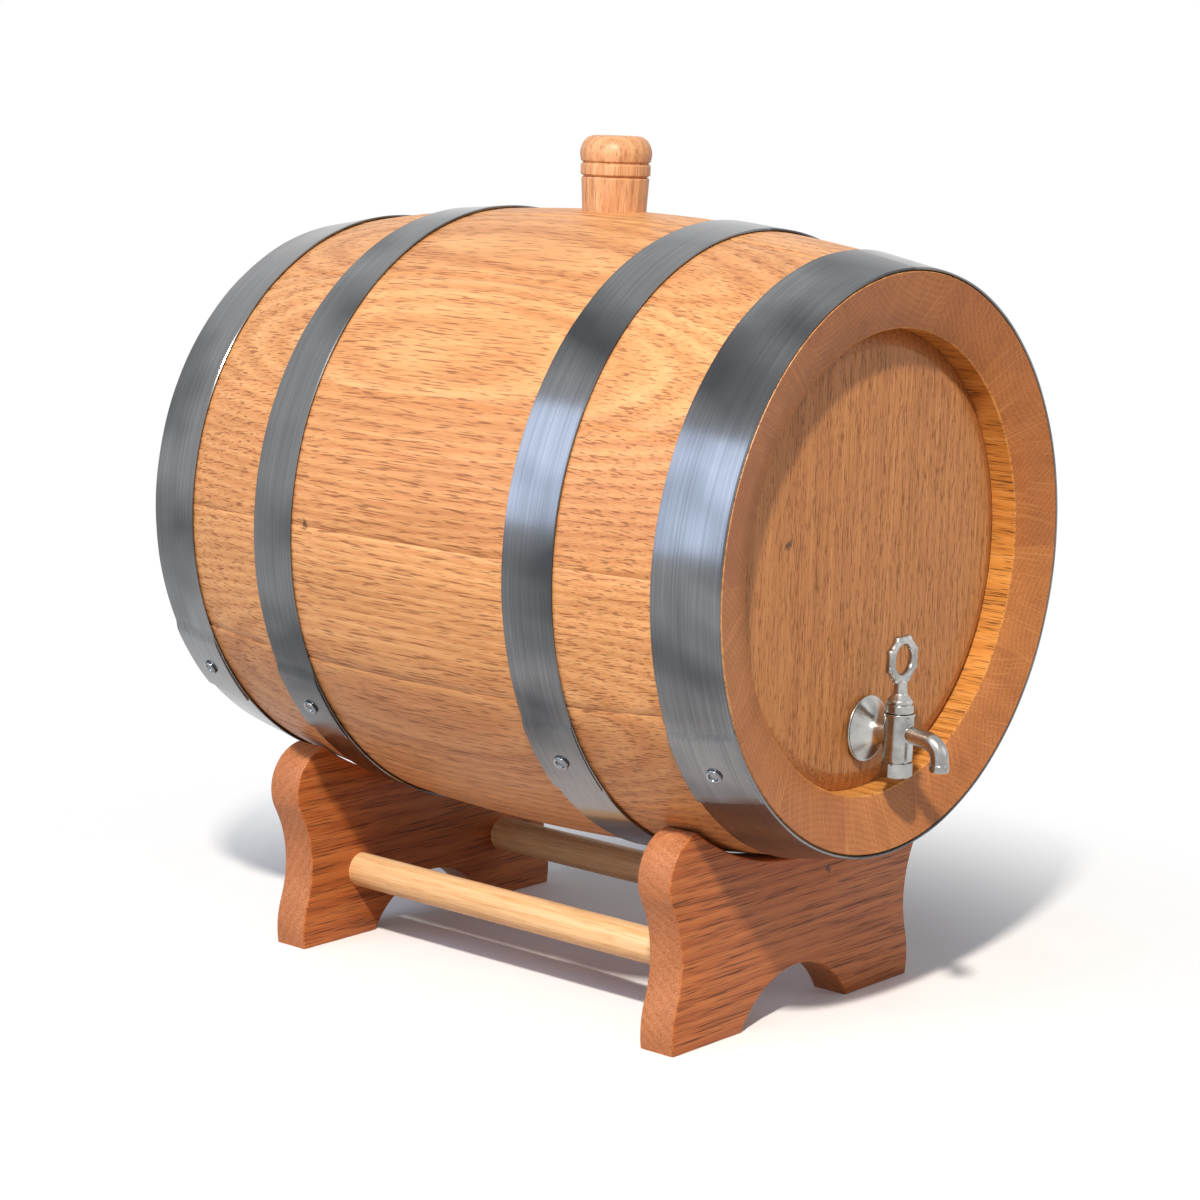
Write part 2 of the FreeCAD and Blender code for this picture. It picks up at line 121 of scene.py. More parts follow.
def in_use(sockets: Sequence[Socket], name: Optional[str] = None) -> Socket:
    """First socket that is in use, of this name if one is given."""
    return next(each for each in sockets if each.enabled and name in (None, each.name))


class Shader:
    """A node tree under construction, with one way to add a node."""

    def __init__(self, owner: Union[Material, bpy.types.World]) -> None:
        """Start an empty tree in a material or world."""
        owner.use_nodes = True
        self.owner = owner
        self.tree = owner.node_tree
        self.tree.nodes.clear()

    def add(self, kind: str, inputs: Optional[Dict[Union[int, str], Value]] = None,
            stops: Sequence[Tuple[float, str]] = (), **settings) -> Node:
        """Add one node.

        Args:
            kind: the node's type name without its ShaderNode prefix.
            inputs: input name or number to a node, a socket, a constant or an sRGB hex colour.
            stops: a ramp's places from 0 to 1 with their sRGB hex colours.
            **settings: properties set on the node itself.

        Returns:
            The new node.
        """
        node = self.tree.nodes.new("ShaderNode" + kind)
        for key, value in settings.items():
            setattr(node, key, value)
        for key, value in (inputs or {}).items():
            socket = node.inputs[key] if isinstance(key, int) else in_use(node.inputs, key)
            if isinstance(value, Node):
                value = in_use(value.outputs)
            if isinstance(value, Socket):
                self.tree.links.new(value, socket)
            else:
                socket.default_value = linear(value) if isinstance(value, str) else value
        for number, (place, code) in enumerate(stops):
            elements = node.color_ramp.elements
            element = elements[number] if number < len(elements) else elements.new(place)
            element.position = place
            element.color = linear(code)
        return node

    def finish(self, surface: Node) -> Material:
        """Connect the surface to the output and hand over the material."""
        self.add("OutputMaterial", {"Surface": surface})
        return self.owner


def noise(s: Shader, space: Socket, size: Triple, detail: float,
          roughness: float = 0.55) -> Node:
    """Add noise whose features have their own size along each axis of a space.

    Args:
        s: the shader under construction.
        space: the coordinates, in metres.
        size: size of a feature along each axis, in millimetres.
        detail: how many finer layers it has.
        roughness: how strong the finer layers are.

    Returns:
        The noise node.
    """
    scaled = s.add("Mapping", {
        "Vector": space, "Scale": tuple(1 / (each * MM) for each in size)})
    return s.add("TexNoise", {
        "Vector": scaled, "Scale": 1.0, "Detail": detail, "Roughness": roughness})


@dataclass(frozen=True)
class Knot:
    """A small dark knot seen in the photograph: its place in the row frame and its radius."""

    place: Triple
    radius: float
    colour: str = "#3b2110"
    strength: float = 0.85
    ragged_size: float = 2.38095 * MM
    soft_edge: float = 0.7

    def cover(self, s: Shader, under: Node) -> Node:
        """Lay the knot over a colour: noise less the distance from its middle is its edge.

        Args:
            s: the shader under construction.
            under: the wood's colour.

        Returns:
            The colour with the knot in it.
        """
        place = s.add("TexCoord").outputs["Object"]
        ragged = s.add("TexNoise", {
            "Vector": place, "Scale": 1 / self.ragged_size, "Detail": 2.0})
        gap = s.add("VectorMath", {0: place, 1: self.place}, operation="DISTANCE")
        reach = s.add("Math", {0: ragged, 1: 2 * self.radius}, operation="MULTIPLY")
        depth = s.add("Math", {0: reach, 1: gap}, operation="SUBTRACT")
        inside = s.add("Math", {0: depth, 1: self.soft_edge * self.radius},
                       operation="DIVIDE", use_clamp=True)
        share = s.add("Math", {0: inside, 1: self.strength}, operation="MULTIPLY")
        return s.add("Mix", {"Factor": share, "A": under, "B": self.colour}, data_type="RGBA")


@dataclass(frozen=True)
class OakFinish:
    """Oiled oak: ring-porous wood, whose open pores show as short dark streaks.

    The rings, fibres and pores are solid patterns in the grain space, with sizes in
    millimetres along the grain, across the board and through it. Real pores are about
    0.3 mm wide; they are drawn wider, so that they show in the render.
    """

    name: str
    light: str
    middle: str
    dark: str
    pore: str
    ring_spacing: float = 4.2 * MM
    ring_contrast: float = 0.5
    pore_length: float = 13.0
    pore_width: float = 0.72
    pore_depth: float = 0.6
    ray_amount: float = 0.0
    roughness: float = 0.48
    bump: float = 0.35
    knot: Optional[Knot] = None
    aged: str = "#c59a6e"
    wander_size: Triple = (190.0, 55.0, 55.0)
    wander_reach: float = 20.0 * MM
    ripple_size: Triple = (45.0, 9.0, 9.0)
    ripple_reach: float = 1.6 * MM
    fibre_size: Triple = (26.0, 0.55, 0.55)
    patch_size: Triple = (120.0, 14.0, 14.0)
    patch_strength: float = 0.75
    ray_size: Triple = (25.0, 1.11111, 33.33333)
    ray_level: Pair = (0.60, 0.66)
    pore_level: Pair = (0.575, 0.69)
    early_wood_pores: float = 0.055
    fibre_relief: float = 0.25
    fibre_dulling: float = 0.18
    pore_dulling: float = 0.2
    bump_depth: float = 0.2 * MM

    def rings(self, s: Shader, grain: Socket) -> Node:
        """Add the place within a growth ring: the fraction of sqrt(y^2 + z^2) / spacing.

        Args:
            s: the shader under construction.
            grain: the grain space.

        Returns:
            A place from 0 to 1, after the tree's slow wander and ripple.
        """
        split = s.add("SeparateXYZ", {"Vector": grain}).outputs
        wander = s.add("Math", {0: noise(s, grain, self.wander_size, 1.5),
                                1: self.wander_reach, 2: split["Y"]}, operation="MULTIPLY_ADD")
        across = s.add("Math", {0: noise(s, grain, self.ripple_size, 1.0),
                                1: self.ripple_reach, 2: wander}, operation="MULTIPLY_ADD")
        through = s.add("Math", {0: split["Z"], 1: split["Z"]}, operation="MULTIPLY")
        square = s.add("Math", {0: across, 1: across, 2: through}, operation="MULTIPLY_ADD")
        heart = s.add("Math", {0: square}, operation="SQRT")
        count = s.add("Math", {0: heart, 1: self.ring_spacing}, operation="DIVIDE")
        return s.add("Math", {0: count}, operation="FRACT")

    def figure(self, s: Shader, grain: Socket, rings: Node, fibre: Node) -> Node:
        """Add the wood's colour without its pores: fibres, rings and broad patches.

        Args:
            s: the shader under construction.
            grain: the grain space.
            rings: place within a growth ring.
            fibre: the fibre noise.

        Returns:
            The colour.
        """
        band = s.add("ValToRGB", {"Fac": rings}, [
            (0.0, self.middle), (0.2, self.dark), (0.5, self.middle), (0.8, self.light),
            (1.0, self.middle)])
        streaks = s.add("ValToRGB", {"Fac": fibre}, [
            (0.32, self.dark), (0.5, self.middle), (0.66, self.light)])
        base = s.add("Mix", {"Factor": self.ring_contrast, "A": streaks, "B": band},
                     data_type="RGBA")
        patch = s.add("ValToRGB", {"Fac": noise(s, grain, self.patch_size, 2.0)}, [
            (0.3, "#e6dfd6"), (0.65, "#ffffff")])
        return s.add("Mix", {"Factor": self.patch_strength, "A": base, "B": patch},
                     data_type="RGBA", blend_type="MULTIPLY")

    def pores(self, s: Shader, grain: Socket, rings: Node) -> Node:
        """Add the mask of the long cells cut open, crowded in each ring's early wood.

        Args:
            s: the shader under construction.
            grain: the grain space.
            rings: place within a growth ring.

        Returns:
            The depth of a pore, zero outside.
        """
        size = (self.pore_length, self.pore_width, self.pore_width)
        early = s.add("ValToRGB", {"Fac": rings}, [
            (0.0, "#ffffff"), (0.3, "#e0e0e0"), (0.6, "#404040"), (0.85, "#606060"),
            (1.0, "#ffffff")])
        level = s.add("Math", {0: early, 1: self.early_wood_pores,
                               2: noise(s, grain, size, 1.2)}, operation="MULTIPLY_ADD")
        opened = s.add("MapRange", {
            "Value": level, "From Min": self.pore_level[0], "From Max": self.pore_level[1]})
        return s.add("Math", {0: opened, 1: self.pore_depth}, operation="MULTIPLY")

    def build(self) -> Material:
        """Make the oak material: a dull oiled coat over the wood's colour.

        Returns:
            The finished material.
        """
        s = Shader(bpy.data.materials.new(self.name))
        grain = s.add("Attribute", attribute_name="grain").outputs["Vector"]
        tone = s.add("Attribute", attribute_name="tone").outputs["Fac"]
        rings = self.rings(s, grain)
        fibre = noise(s, grain, self.fibre_size, 3.0)
        pores = self.pores(s, grain, rings)
        colour = s.add("Mix", {"Factor": pores, "A": self.figure(s, grain, rings, fibre),
                               "B": self.pore}, data_type="RGBA")
        if self.ray_amount:
            rays = s.add("MapRange", {
                "Value": noise(s, grain, self.ray_size, 1.0, 0.5),
                "From Min": self.ray_level[0], "From Max": self.ray_level[1],
                "To Max": self.ray_amount})
            colour = s.add("Mix", {"Factor": rays, "A": colour, "B": self.light},
                           data_type="RGBA")
        if self.knot:
            colour = self.knot.cover(s, colour)
        tinted = s.add("Mix", {"Factor": tone, "A": colour, "B": self.aged},
                       data_type="RGBA", blend_type="MULTIPLY")
        raised = s.add("Math", {0: fibre, 1: self.fibre_relief}, operation="MULTIPLY")
        height = s.add("Math", {0: raised, 1: pores}, operation="SUBTRACT")
        gloss = s.add("Math", {0: fibre, 1: self.fibre_dulling,
                               2: self.roughness - self.fibre_dulling / 2},
                      operation="MULTIPLY_ADD")
        worn = s.add("Math", {0: pores, 1: self.pore_dulling, 2: gloss},
                     operation="MULTIPLY_ADD")
        bump = s.add("Bump", {
            "Height": height, "Strength": self.bump, "Distance": self.bump_depth})
        return s.finish(s.add("BsdfPrincipled", {
            "Base Color": tinted, "Roughness": worn, "Normal": bump, "IOR": 1.5,
            "Specular IOR Level": 0.35, "Coat Weight": 0.1, "Coat Roughness": 0.3}))


@dataclass(frozen=True)
class SteelFinish:
    """Cold-rolled steel strap, rubbed along its length: fine streaks round the hoop.

    The grain space is the way round the hoop, across the strap, and outwards, with sizes
    in millimetres. The rubbed lines are drawn 0.8 mm wide, so that they show.
    """

    name: str
    light: str = "#8a8b8d"
    dark: str = "#737476"
    # dark colour of the cloudy patches: partly stains, partly painted dark reflections
    stain_and_dark_reflection: str = "#303338"
    roughness: float = 0.08
    streak_size: Triple = (111.1111, 0.769231, 0.769231)
    cloud_size: Triple = (62.5, 76.92308, 76.92308)
    stain_and_reflection_level: Pair = (0.42, 0.64)
    stain_and_reflection_strength: float = 0.75
    cloud_dulling: float = 0.22

    def build(self) -> Material:
        """Make the strap material: streaked steel under cloudy dark patches, partly stains and
        partly painted dark reflections.

        Returns:
            The finished material.
        """
        s = Shader(bpy.data.materials.new(self.name))
        grain = s.add("Attribute", attribute_name="grain").outputs["Vector"]
        streak = noise(s, grain, self.streak_size, 3.0, 0.6)
        cloud = noise(s, grain, self.cloud_size, 2.5, 0.5)
        tone = s.add("ValToRGB", {"Fac": streak}, [(0.3, self.dark), (0.7, self.light)])
        # cloudy dark patches: partly stains on the steel, partly painted dark reflections
        stain_and_dark_reflection = s.add("MapRange", {
            "Value": cloud, "From Min": self.stain_and_reflection_level[0], "From Max": self.stain_and_reflection_level[1],
            "To Max": self.stain_and_reflection_strength})
        colour = s.add("Mix", {"Factor": stain_and_dark_reflection, "A": tone, "B": self.stain_and_dark_reflection},
                       data_type="RGBA")
        rough = s.add("Math", {0: cloud, 1: self.cloud_dulling, 2: self.roughness},
                      operation="MULTIPLY_ADD")
        bump = s.add("Bump", {"Height": streak, "Strength": 0.03, "Distance": 0.1 * MM})
        return s.finish(s.add("BsdfPrincipled", {
            "Base Color": colour, "Roughness": rough, "Normal": bump, "Metallic": 1.0}))


@dataclass(frozen=True)
class CastMetalFinish:
    """Nickel-plated casting, bright but softly uneven, greyer in random clouds."""

    name: str
    light: str = "#bdbcb8"
    dark: str = "#8b8a87"
    roughness: float = 0.14
    cloud_size: float = 11.1111 * MM
    grit_size: float = 0.714286 * MM
    cloud_dulling: float = 0.2

    def build(self) -> Material:
        """Make the plated material: colour and gloss follow the clouds, relief the grit.

        Returns:
            The finished material.
        """
        s = Shader(bpy.data.materials.new(self.name))
        place = s.add("TexCoord").outputs["Object"]
        cloud, grit = (
            s.add("TexNoise", {"Vector": place, "Scale": 1 / size, "Detail": detail,
                               "Roughness": 0.5})
            for size, detail in ((self.cloud_size, 3.0), (self.grit_size, 2.0)))
        tone = s.add("ValToRGB", {"Fac": cloud}, [(0.32, self.dark), (0.62, self.light)])
        rough = s.add("Math", {0: cloud, 1: self.cloud_dulling, 2: self.roughness},
                      operation="MULTIPLY_ADD")
        bump = s.add("Bump", {"Height": grit, "Strength": 0.06, "Distance": 0.05 * MM})
        return s.finish(s.add("BsdfPrincipled", {
            "Base Color": tone, "Roughness": rough, "Normal": bump, "Metallic": 1.0}))


@dataclass(frozen=True)
class RubberFinish:
    """Moulded black rubber washer, dull with a faint bloom."""

    name: str
    light: str = "#2b2a29"
    dark: str = "#151515"
    bloom_size: float = 2.0 * MM

    def build(self) -> Material:
        """Make the rubber material.

        Returns:
            The finished material.
        """
        s = Shader(bpy.data.materials.new(self.name))
        place = s.add("TexCoord").outputs["Object"]
        bloom = s.add("TexNoise", {
            "Vector": place, "Scale": 1 / self.bloom_size, "Detail": 3.0, "Roughness": 0.6})
        tone = s.add("ValToRGB", {"Fac": bloom}, [(0.35, self.dark), (0.7, self.light)])
        bump = s.add("Bump", {"Height": bloom, "Strength": 0.2, "Distance": 0.05 * MM})
        return s.finish(s.add("BsdfPrincipled", {
            "Base Color": tone, "Normal": bump, "Roughness": 0.7}))


# Mesh tools
class Shell:
    """Points, faces and grain space of one piece, gathered before it becomes a mesh."""

    def __init__(self) -> None:
        """Start with nothing."""
        self.points: List[np.ndarray] = []
        self.grain: List[np.ndarray] = []
        self.tone: List[np.ndarray] = []
        self.faces: List[Sequence[int]] = []
        self.count = 0

    def add_loops(self, points: np.ndarray, grain: np.ndarray, closed: bool = False,
                  tone: float = 0.0) -> None:
        """Add a closed surface over a grid of points, whose rows are loops.

        Args:
            points: places in the row frame: rows, points in a row, and x, y, z.
            grain: the same points in the board's own space.
            closed: join the last row to the first, in place of a flat cap at each end.
            tone: how dark this board is, from 0 to 1.
        """
        rows, columns = points.shape[:2]
        number = np.arange(rows * columns).reshape(rows, columns) + self.count
        below = np.roll(number, -1, 0)
        corners = [number, below, np.roll(below, -1, 1), np.roll(number, -1, 1)]
        quads = np.stack(corners, axis=-1)[:rows if closed else -1]
        self.faces += quads.reshape(-1, 4).tolist()
        if not closed:
            self.faces += [number[0].tolist(), number[-1, ::-1].tolist()]
        self.points.append(points.reshape(-1, 3))
        self.grain.append(grain.reshape(-1, 3))
        self.tone.append(np.full(rows * columns, tone))
        self.count += rows * columns

    def build(self, name: str, smooth: bool = True) -> Piece:
        """Turn what was gathered into an object at the origin that faces outwards.

        Args:
            name: the object's name.
            smooth: shade smoothly but for sharp edges.

        Returns:
            The new object.
        """
        mesh = bpy.data.meshes.new(name)
        mesh.from_pydata(np.concatenate(self.points).tolist(), [], self.faces)
        for label, kind, key, values in (("grain", "FLOAT_VECTOR", "vector", self.grain),
                                         ("tone", "FLOAT", "value", self.tone)):
            attribute = mesh.attributes.new(label, kind, "POINT")
            attribute.data.foreach_set(key, np.concatenate(values).astype(np.float32).ravel())
        work = bmesh.new()
        work.from_mesh(mesh)
        bmesh.ops.recalc_face_normals(work, faces=work.faces)
        work.to_mesh(mesh)
        work.free()
        if smooth:
            mesh.shade_smooth()
            mesh.set_sharp_from_angle(angle=SMOOTH_ANGLE)
        piece = bpy.data.objects.new(name, mesh)
        bpy.context.scene.collection.objects.link(piece)
        return piece


def turned(profile: np.ndarray, centre: Sequence[float], axis: Axis,
           turns: int) -> Tuple[np.ndarray, np.ndarray]:
    """Turn a profile about a row axis: r cos t and r sin t, square to the height.

    Args:
        profile: rows of radius and height along the axis, from one end to the other.
        centre: a point on the axis.
        axis: the row axis it turns about.
        turns: number of steps round.

    Returns:
        Points of the row frame, and the same points as height, r cos t and r sin t.
    """
    angle = np.linspace(0, FULL_TURN, turns, endpoint=False)
    radius, height = profile[:, :1], profile[:, 1:]
    parts = np.broadcast_arrays(radius * np.cos(angle), radius * np.sin(angle), height)
    points = np.stack([parts[number] for number in axis.value], axis=-1) + np.array(centre)
    return points, np.stack([parts[2], parts[0], parts[1]], axis=-1)


def tube(path: np.ndarray, radii: np.ndarray, side: Triple, turns: int,
         closed: bool = False) -> np.ndarray:
    """Carry a circle along a flat path: p + r (cos t n + sin t side), n square to the path.

    Args:
        path: points of the centre line, all in one plane.
        radii: radius at each point.
        side: unit normal of the path's plane.
        turns: number of steps round.
        closed: the path's end joins its start.

    Returns:
        Points of the row frame, one row for each point of the path.
    """
    step = np.roll(path, -1, 0) - np.roll(path, 1, 0) if closed else np.gradient(path, axis=0)
    step = step / np.linalg.norm(step, axis=1)[:, None]
    angle = np.linspace(0, FULL_TURN, turns, endpoint=False)[None, :, None]
    ring = (np.cross(step, side)[:, None, :] * np.cos(angle)
            + np.array(side, float)[None, None, :] * np.sin(angle))
    return path[:, None, :] + ring * radii[:, None, None]


def rounded(points: Sequence[Pair], radius: float, steps: int = 4) -> np.ndarray:
    """Cut the inner corners of an open outline by quadratic curves of about one radius.

    Args:
        points: the outline's corners.
        radius: how far from a corner its curve starts.
        steps: number of steps in a curve.

    Returns:
        The outline's points.
    """
    corners = np.array(points, float)
    out = [corners[:1]]
    t = np.linspace(0, 1, steps + 1)[:, None]
    for before, corner, after in zip(corners, corners[1:], corners[2:]):
        back, ahead = before - corner, after - corner
        back_length, ahead_length = np.linalg.norm(back), np.linalg.norm(ahead)
        cut = min(radius, 0.45 * back_length, 0.45 * ahead_length)
        start = corner + back / back_length * cut
        end = corner + ahead / ahead_length * cut
        out.append((1 - t) ** 2 * start + 2 * t * (1 - t) * corner + t ** 2 * end)
    return np.concatenate(out + [corners[-1:]])


def dress(piece: Piece, body: Body, slot: Slot, node: str,
          *materials: Material) -> Tuple[np.ndarray, np.ndarray]:
    """Give a piece its finishes and body, and hide the CAD node it stands for.

    Args:
        piece: the finished piece.
        body: the body it moves with.
        slot: the record's slot for its main finish; it is not used.
        node: the CAD node it replaces.
        *materials: its finishes, the main one first.

    Returns:
        Centre and normal of each face, one row of three each.
    """
    piece.data.materials.clear()
    for material in materials:
        piece.data.materials.append(material)
    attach(piece, body.value)
    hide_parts(node)
    faces = piece.data.polygons
    centre, normal = np.empty((2, len(faces), 3), np.float32)
    faces.foreach_get("center", centre.ravel())
    faces.foreach_get("normal", normal.ravel())
    LOG.info("%s: %d faces", piece.name, len(faces))
    return centre, normal


@dataclass
class CaskForm:
    """The cask's wood, from which staves, heads and hoops take their places."""

    half_length: float = 162.5 * MM
    belly_radius: float = 140.0 * MM
    end_radius: float = 123.8 * MM
    stave_thickness: float = 22.0 * MM
    chime_radius: float = 99.3 * MM
    chime_slope: float = 6.3 * MM
    head_setback: float = 15.0 * MM
    head_thickness: float = 14.0 * MM
    head_flat_radius: float = 91.0 * MM
    head_edge_radius: float = 102.8 * MM
    head_edge_thickness: float = 4.0 * MM
    croze_clearance: float = 0.15 * MM
    axis_z: float = 206.0 * MM
    middle_y: float = field(init=False)
    bend: float = field(init=False)

    def __post_init__(self) -> None:
        """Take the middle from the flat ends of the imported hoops, and the bilge's radius."""
        front_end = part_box("front_end_hoop")[0]
        rear_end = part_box("rear_end_hoop")[1]
        self.middle_y = (front_end.y + rear_end.y) / 2
        rise = self.belly_radius - self.end_radius
        self.bend = (self.half_length ** 2 + rise ** 2) / (2 * rise)

    def wood_radius(self, y: Union[float, np.ndarray]) -> np.ndarray:
        """Radius of the bilge's arc y from its middle: belly - R + sqrt(R^2 - y^2)."""
        return self.belly_radius - self.bend + np.sqrt(self.bend ** 2 - np.square(y))

    def head_depth(self, radius: float) -> float:
        """Depth of the head's front bevel at a radius, behind the cask's end."""
        bevel = (self.head_thickness - self.head_edge_thickness) / 2
        run = (radius - self.head_flat_radius) / (self.head_edge_radius - self.head_flat_radius)
        return self.head_setback + bevel * run

    def place(self, clock: np.ndarray, y: np.ndarray, radius: np.ndarray) -> np.ndarray:
        """Points of the row frame at clock angles in radians: x = -r sin c, z = r cos c."""
        clock, y, radius = np.broadcast_arrays(clock, y, radius)
        return np.stack([-radius * np.sin(clock), self.middle_y + y,
                         self.axis_z + radius * np.cos(clock)], axis=-1)


@dataclass
class Staves:
    """Bilged oak staves with eased joints."""

    form: CaskForm
    count: int = 14
    bung_stave_clock: float = math.radians(-1.5)
    joint_ease: float = 0.45 * MM
    joint_width: float = 0.9 * MM
    rim: float = 0.6 * MM
    rim_length: float = 0.96 * MM
    wall_margin: float = 0.7 * MM
    across_steps: int = 15
    outer_steps: int = 60
    inner_steps: int = 30
    seed: int = 7
    tones: Tuple[float, ...] = (0.10, 0.24, 0.08, 0.26, 0.04, 0.20, 0.34, 0.12, 0.28, 0.18,
                                0.06, 0.30, 0.22, 0.32)
    oak: OakFinish = OakFinish(
        "oiled stave oak", "#e9b57c", "#da9f67", "#c48550", "#774522", pore_depth=0.7,
        knot=Knot((-138.2 * MM, 66.8 * MM, 210.4 * MM), 2.4 * MM))
    end_oak: OakFinish = OakFinish(
        "oiled end grain oak", "#cf8e51", "#be793e", "#aa6731", "#7b4721", pore_depth=0.35,
        ray_amount=0.6, ring_spacing=2.7 * MM, ring_contrast=0.3)
    wall_oak: OakFinish = OakFinish(
        "oiled chime wall oak", "#efb264", "#e09c4c", "#c98436", "#5f3614", pore_depth=0.8,
        pore_width=0.8)

    def end_outline(self, side: int) -> np.ndarray:
        """Section of a stave's end: rim, chime, croze groove.

        Args:
            side: -1 for the tap end, 1 for the rear one.

        Returns:
            Rows of y and radius, from the outside in.
        """
        form = self.form
        gap = form.croze_clearance
        front = form.head_depth(form.chime_radius)
        groove = form.head_depth(form.head_edge_radius)
        back = 2 * form.head_setback + form.head_thickness
        croze = form.head_edge_radius + gap
        outline = [
            (self.rim_length, form.end_radius), (0.0, form.end_radius - self.rim),
            (0.5 * form.chime_slope, 0.5 * (form.end_radius + form.chime_radius)),
            (form.chime_slope, form.chime_radius + self.rim),
            (form.chime_slope + self.rim, form.chime_radius),
            (front - gap, form.chime_radius), (groove - gap, croze),
            (back - groove + gap, croze), (back - front + gap, form.chime_radius)]
        return np.array([(side * (form.half_length - depth), radius)
                         for depth, radius in outline])

    def section(self) -> np.ndarray:
        """Closed section of a stave: arc outside, two ends, parabola inside.

        Returns:
            Rows of y and radius, the outside first.
        """
        front, back = self.end_outline(-1), self.end_outline(1)
        outer_y = np.linspace(front[0, 0], back[0, 0], self.outer_steps)
        outer = np.stack([outer_y, self.form.wood_radius(outer_y)], axis=1)
        top = self.form.belly_radius - self.form.stave_thickness
        t = np.linspace(1, -1, self.inner_steps)[1:-1]
        inner = np.stack([t * back[-1, 0], top - (top - self.form.chime_radius) * t ** 2],
                         axis=1)
        return np.concatenate([outer, back[1:], inner, front[:0:-1]])

    def build(self) -> None:
        """Build every stave as a wedge of the section: the clock runs across its width."""
        finishes = [finish.build() for finish in (self.oak, self.end_oak, self.wall_oak)]
        form = self.form
        draw = np.random.default_rng(self.seed)
        y, bare = self.section().T
        outside = np.arange(len(y)) < self.outer_steps
        half = math.pi / self.count
        edge = self.joint_width / (half * form.belly_radius)
        across = np.linspace(-1, 1, self.across_steps)
        across = np.sort(np.concatenate([across, [-1 + edge, 1 - edge]]))[:, None]
        ease = np.clip((np.abs(across) - (1 - edge)) / edge, 0, 1)
        width = across * half * form.belly_radius
        for number in range(self.count):
            clock = self.bung_stave_clock + number * 2 * half + half * across
            sink = draw.uniform(0.08, 0.24) * MM
            radius = bare - outside * (sink + self.joint_ease * ease)
            depth = form.belly_radius - radius
            lean = draw.uniform(-0.7, 0.7)
            cut = [draw.uniform(-5, 5), draw.uniform(-0.03, 0.03), draw.uniform(0.02, 0.07)]
            grain = np.stack(np.broadcast_arrays(
                y, width * math.cos(lean) - depth * math.sin(lean),
                width * math.sin(lean) + depth * math.cos(lean)), axis=-1)
            shell = Shell()
            shell.add_loops(form.place(clock, y, radius), np.array(cut) + grain,
                            tone=self.tones[number])
            name = f"stave_{number + 1:02d}" if number else "bung_stave"
            piece = shell.build(name + "_wood")
            centre, normal = dress(piece, Body.CASK, Slot.CASK_OAK, name, *finishes)
            behind = form.half_length - np.abs(centre[:, 1] - form.middle_y)
            out = np.hypot(centre[:, 0], centre[:, 2] - form.axis_z)
            end = (np.abs(normal[:, 1]) > 0.9) & (behind < 2 * form.chime_slope)
            wall = ~end & (behind < 2 * form.head_setback) & (
                out < form.chime_radius + self.wall_margin)
            piece.data.polygons.foreach_set("material_index", (end + 2 * wall).astype(np.int32))


@dataclass
class Heads:
    """Round oak heads, glued up from boards whose grain stands upright."""

    form: CaskForm
    hole: float = 0.6 * MM
    ease: float = 0.7 * MM
    turns: int = 160
    face_steps: int = 24
    oak: OakFinish = OakFinish(
        "oiled head oak", "#e4ac70", "#d3975c", "#be7f47", "#74461f", ring_contrast=0.25,
        pore_width=0.55, pore_length=5.0, pore_depth=0.7,
        knot=Knot((-60.6 * MM, -133.2 * MM, 219.0 * MM), 2.6 * MM))

    def build_one(self, node: str, side: int, oak: Material, tone: float,
                  cut: Triple) -> None:
        """Build one head: its bevelled section turned about the cask's axis.

        Args:
            node: the CAD node it stands for.
            side: -1 for the tap head, 1 for the rear one.
            oak: its finish.
            tone: how dark the panel is.
            cut: where the boards were cut from the tree.
        """
        form = self.form
        edge = form.head_depth(form.head_edge_radius)
        back = form.head_setback + form.head_thickness
        outline = rounded([
            (self.hole, form.head_setback), (form.head_flat_radius, form.head_setback),
            (form.head_edge_radius, edge),
            (form.head_edge_radius, back + form.head_setback - edge),
            (form.head_flat_radius, back), (self.hole, back)], self.ease)
        steps = np.linspace(0, 1, self.face_steps)[:-1, None]
        face = outline[0] + (outline[1] - outline[0]) * steps
        outline = np.concatenate([face, outline[1:]])
        profile = np.stack([outline[:, 0], side * (form.half_length - outline[:, 1])], axis=1)
        points, local = turned(profile, (0.0, form.middle_y, form.axis_z), Axis.ALONG_Y,
                               self.turns)
        grain = np.stack([points[..., 2], points[..., 0], np.abs(local[..., 0])], axis=-1)
        shell = Shell()
        shell.add_loops(points, grain + np.array(cut), tone=tone)
        dress(shell.build(node + "_wood"), Body.CASK, Slot.CASK_OAK, node, oak)

    def build(self) -> None:
        """Build both heads."""
        oak = self.oak.build()
        self.build_one("front_head", -1, oak, 0.35, (1.3, 0.06, -0.09))
        self.build_one("rear_head", 1, oak, 0.3, (-0.7, 0.02, -0.07))


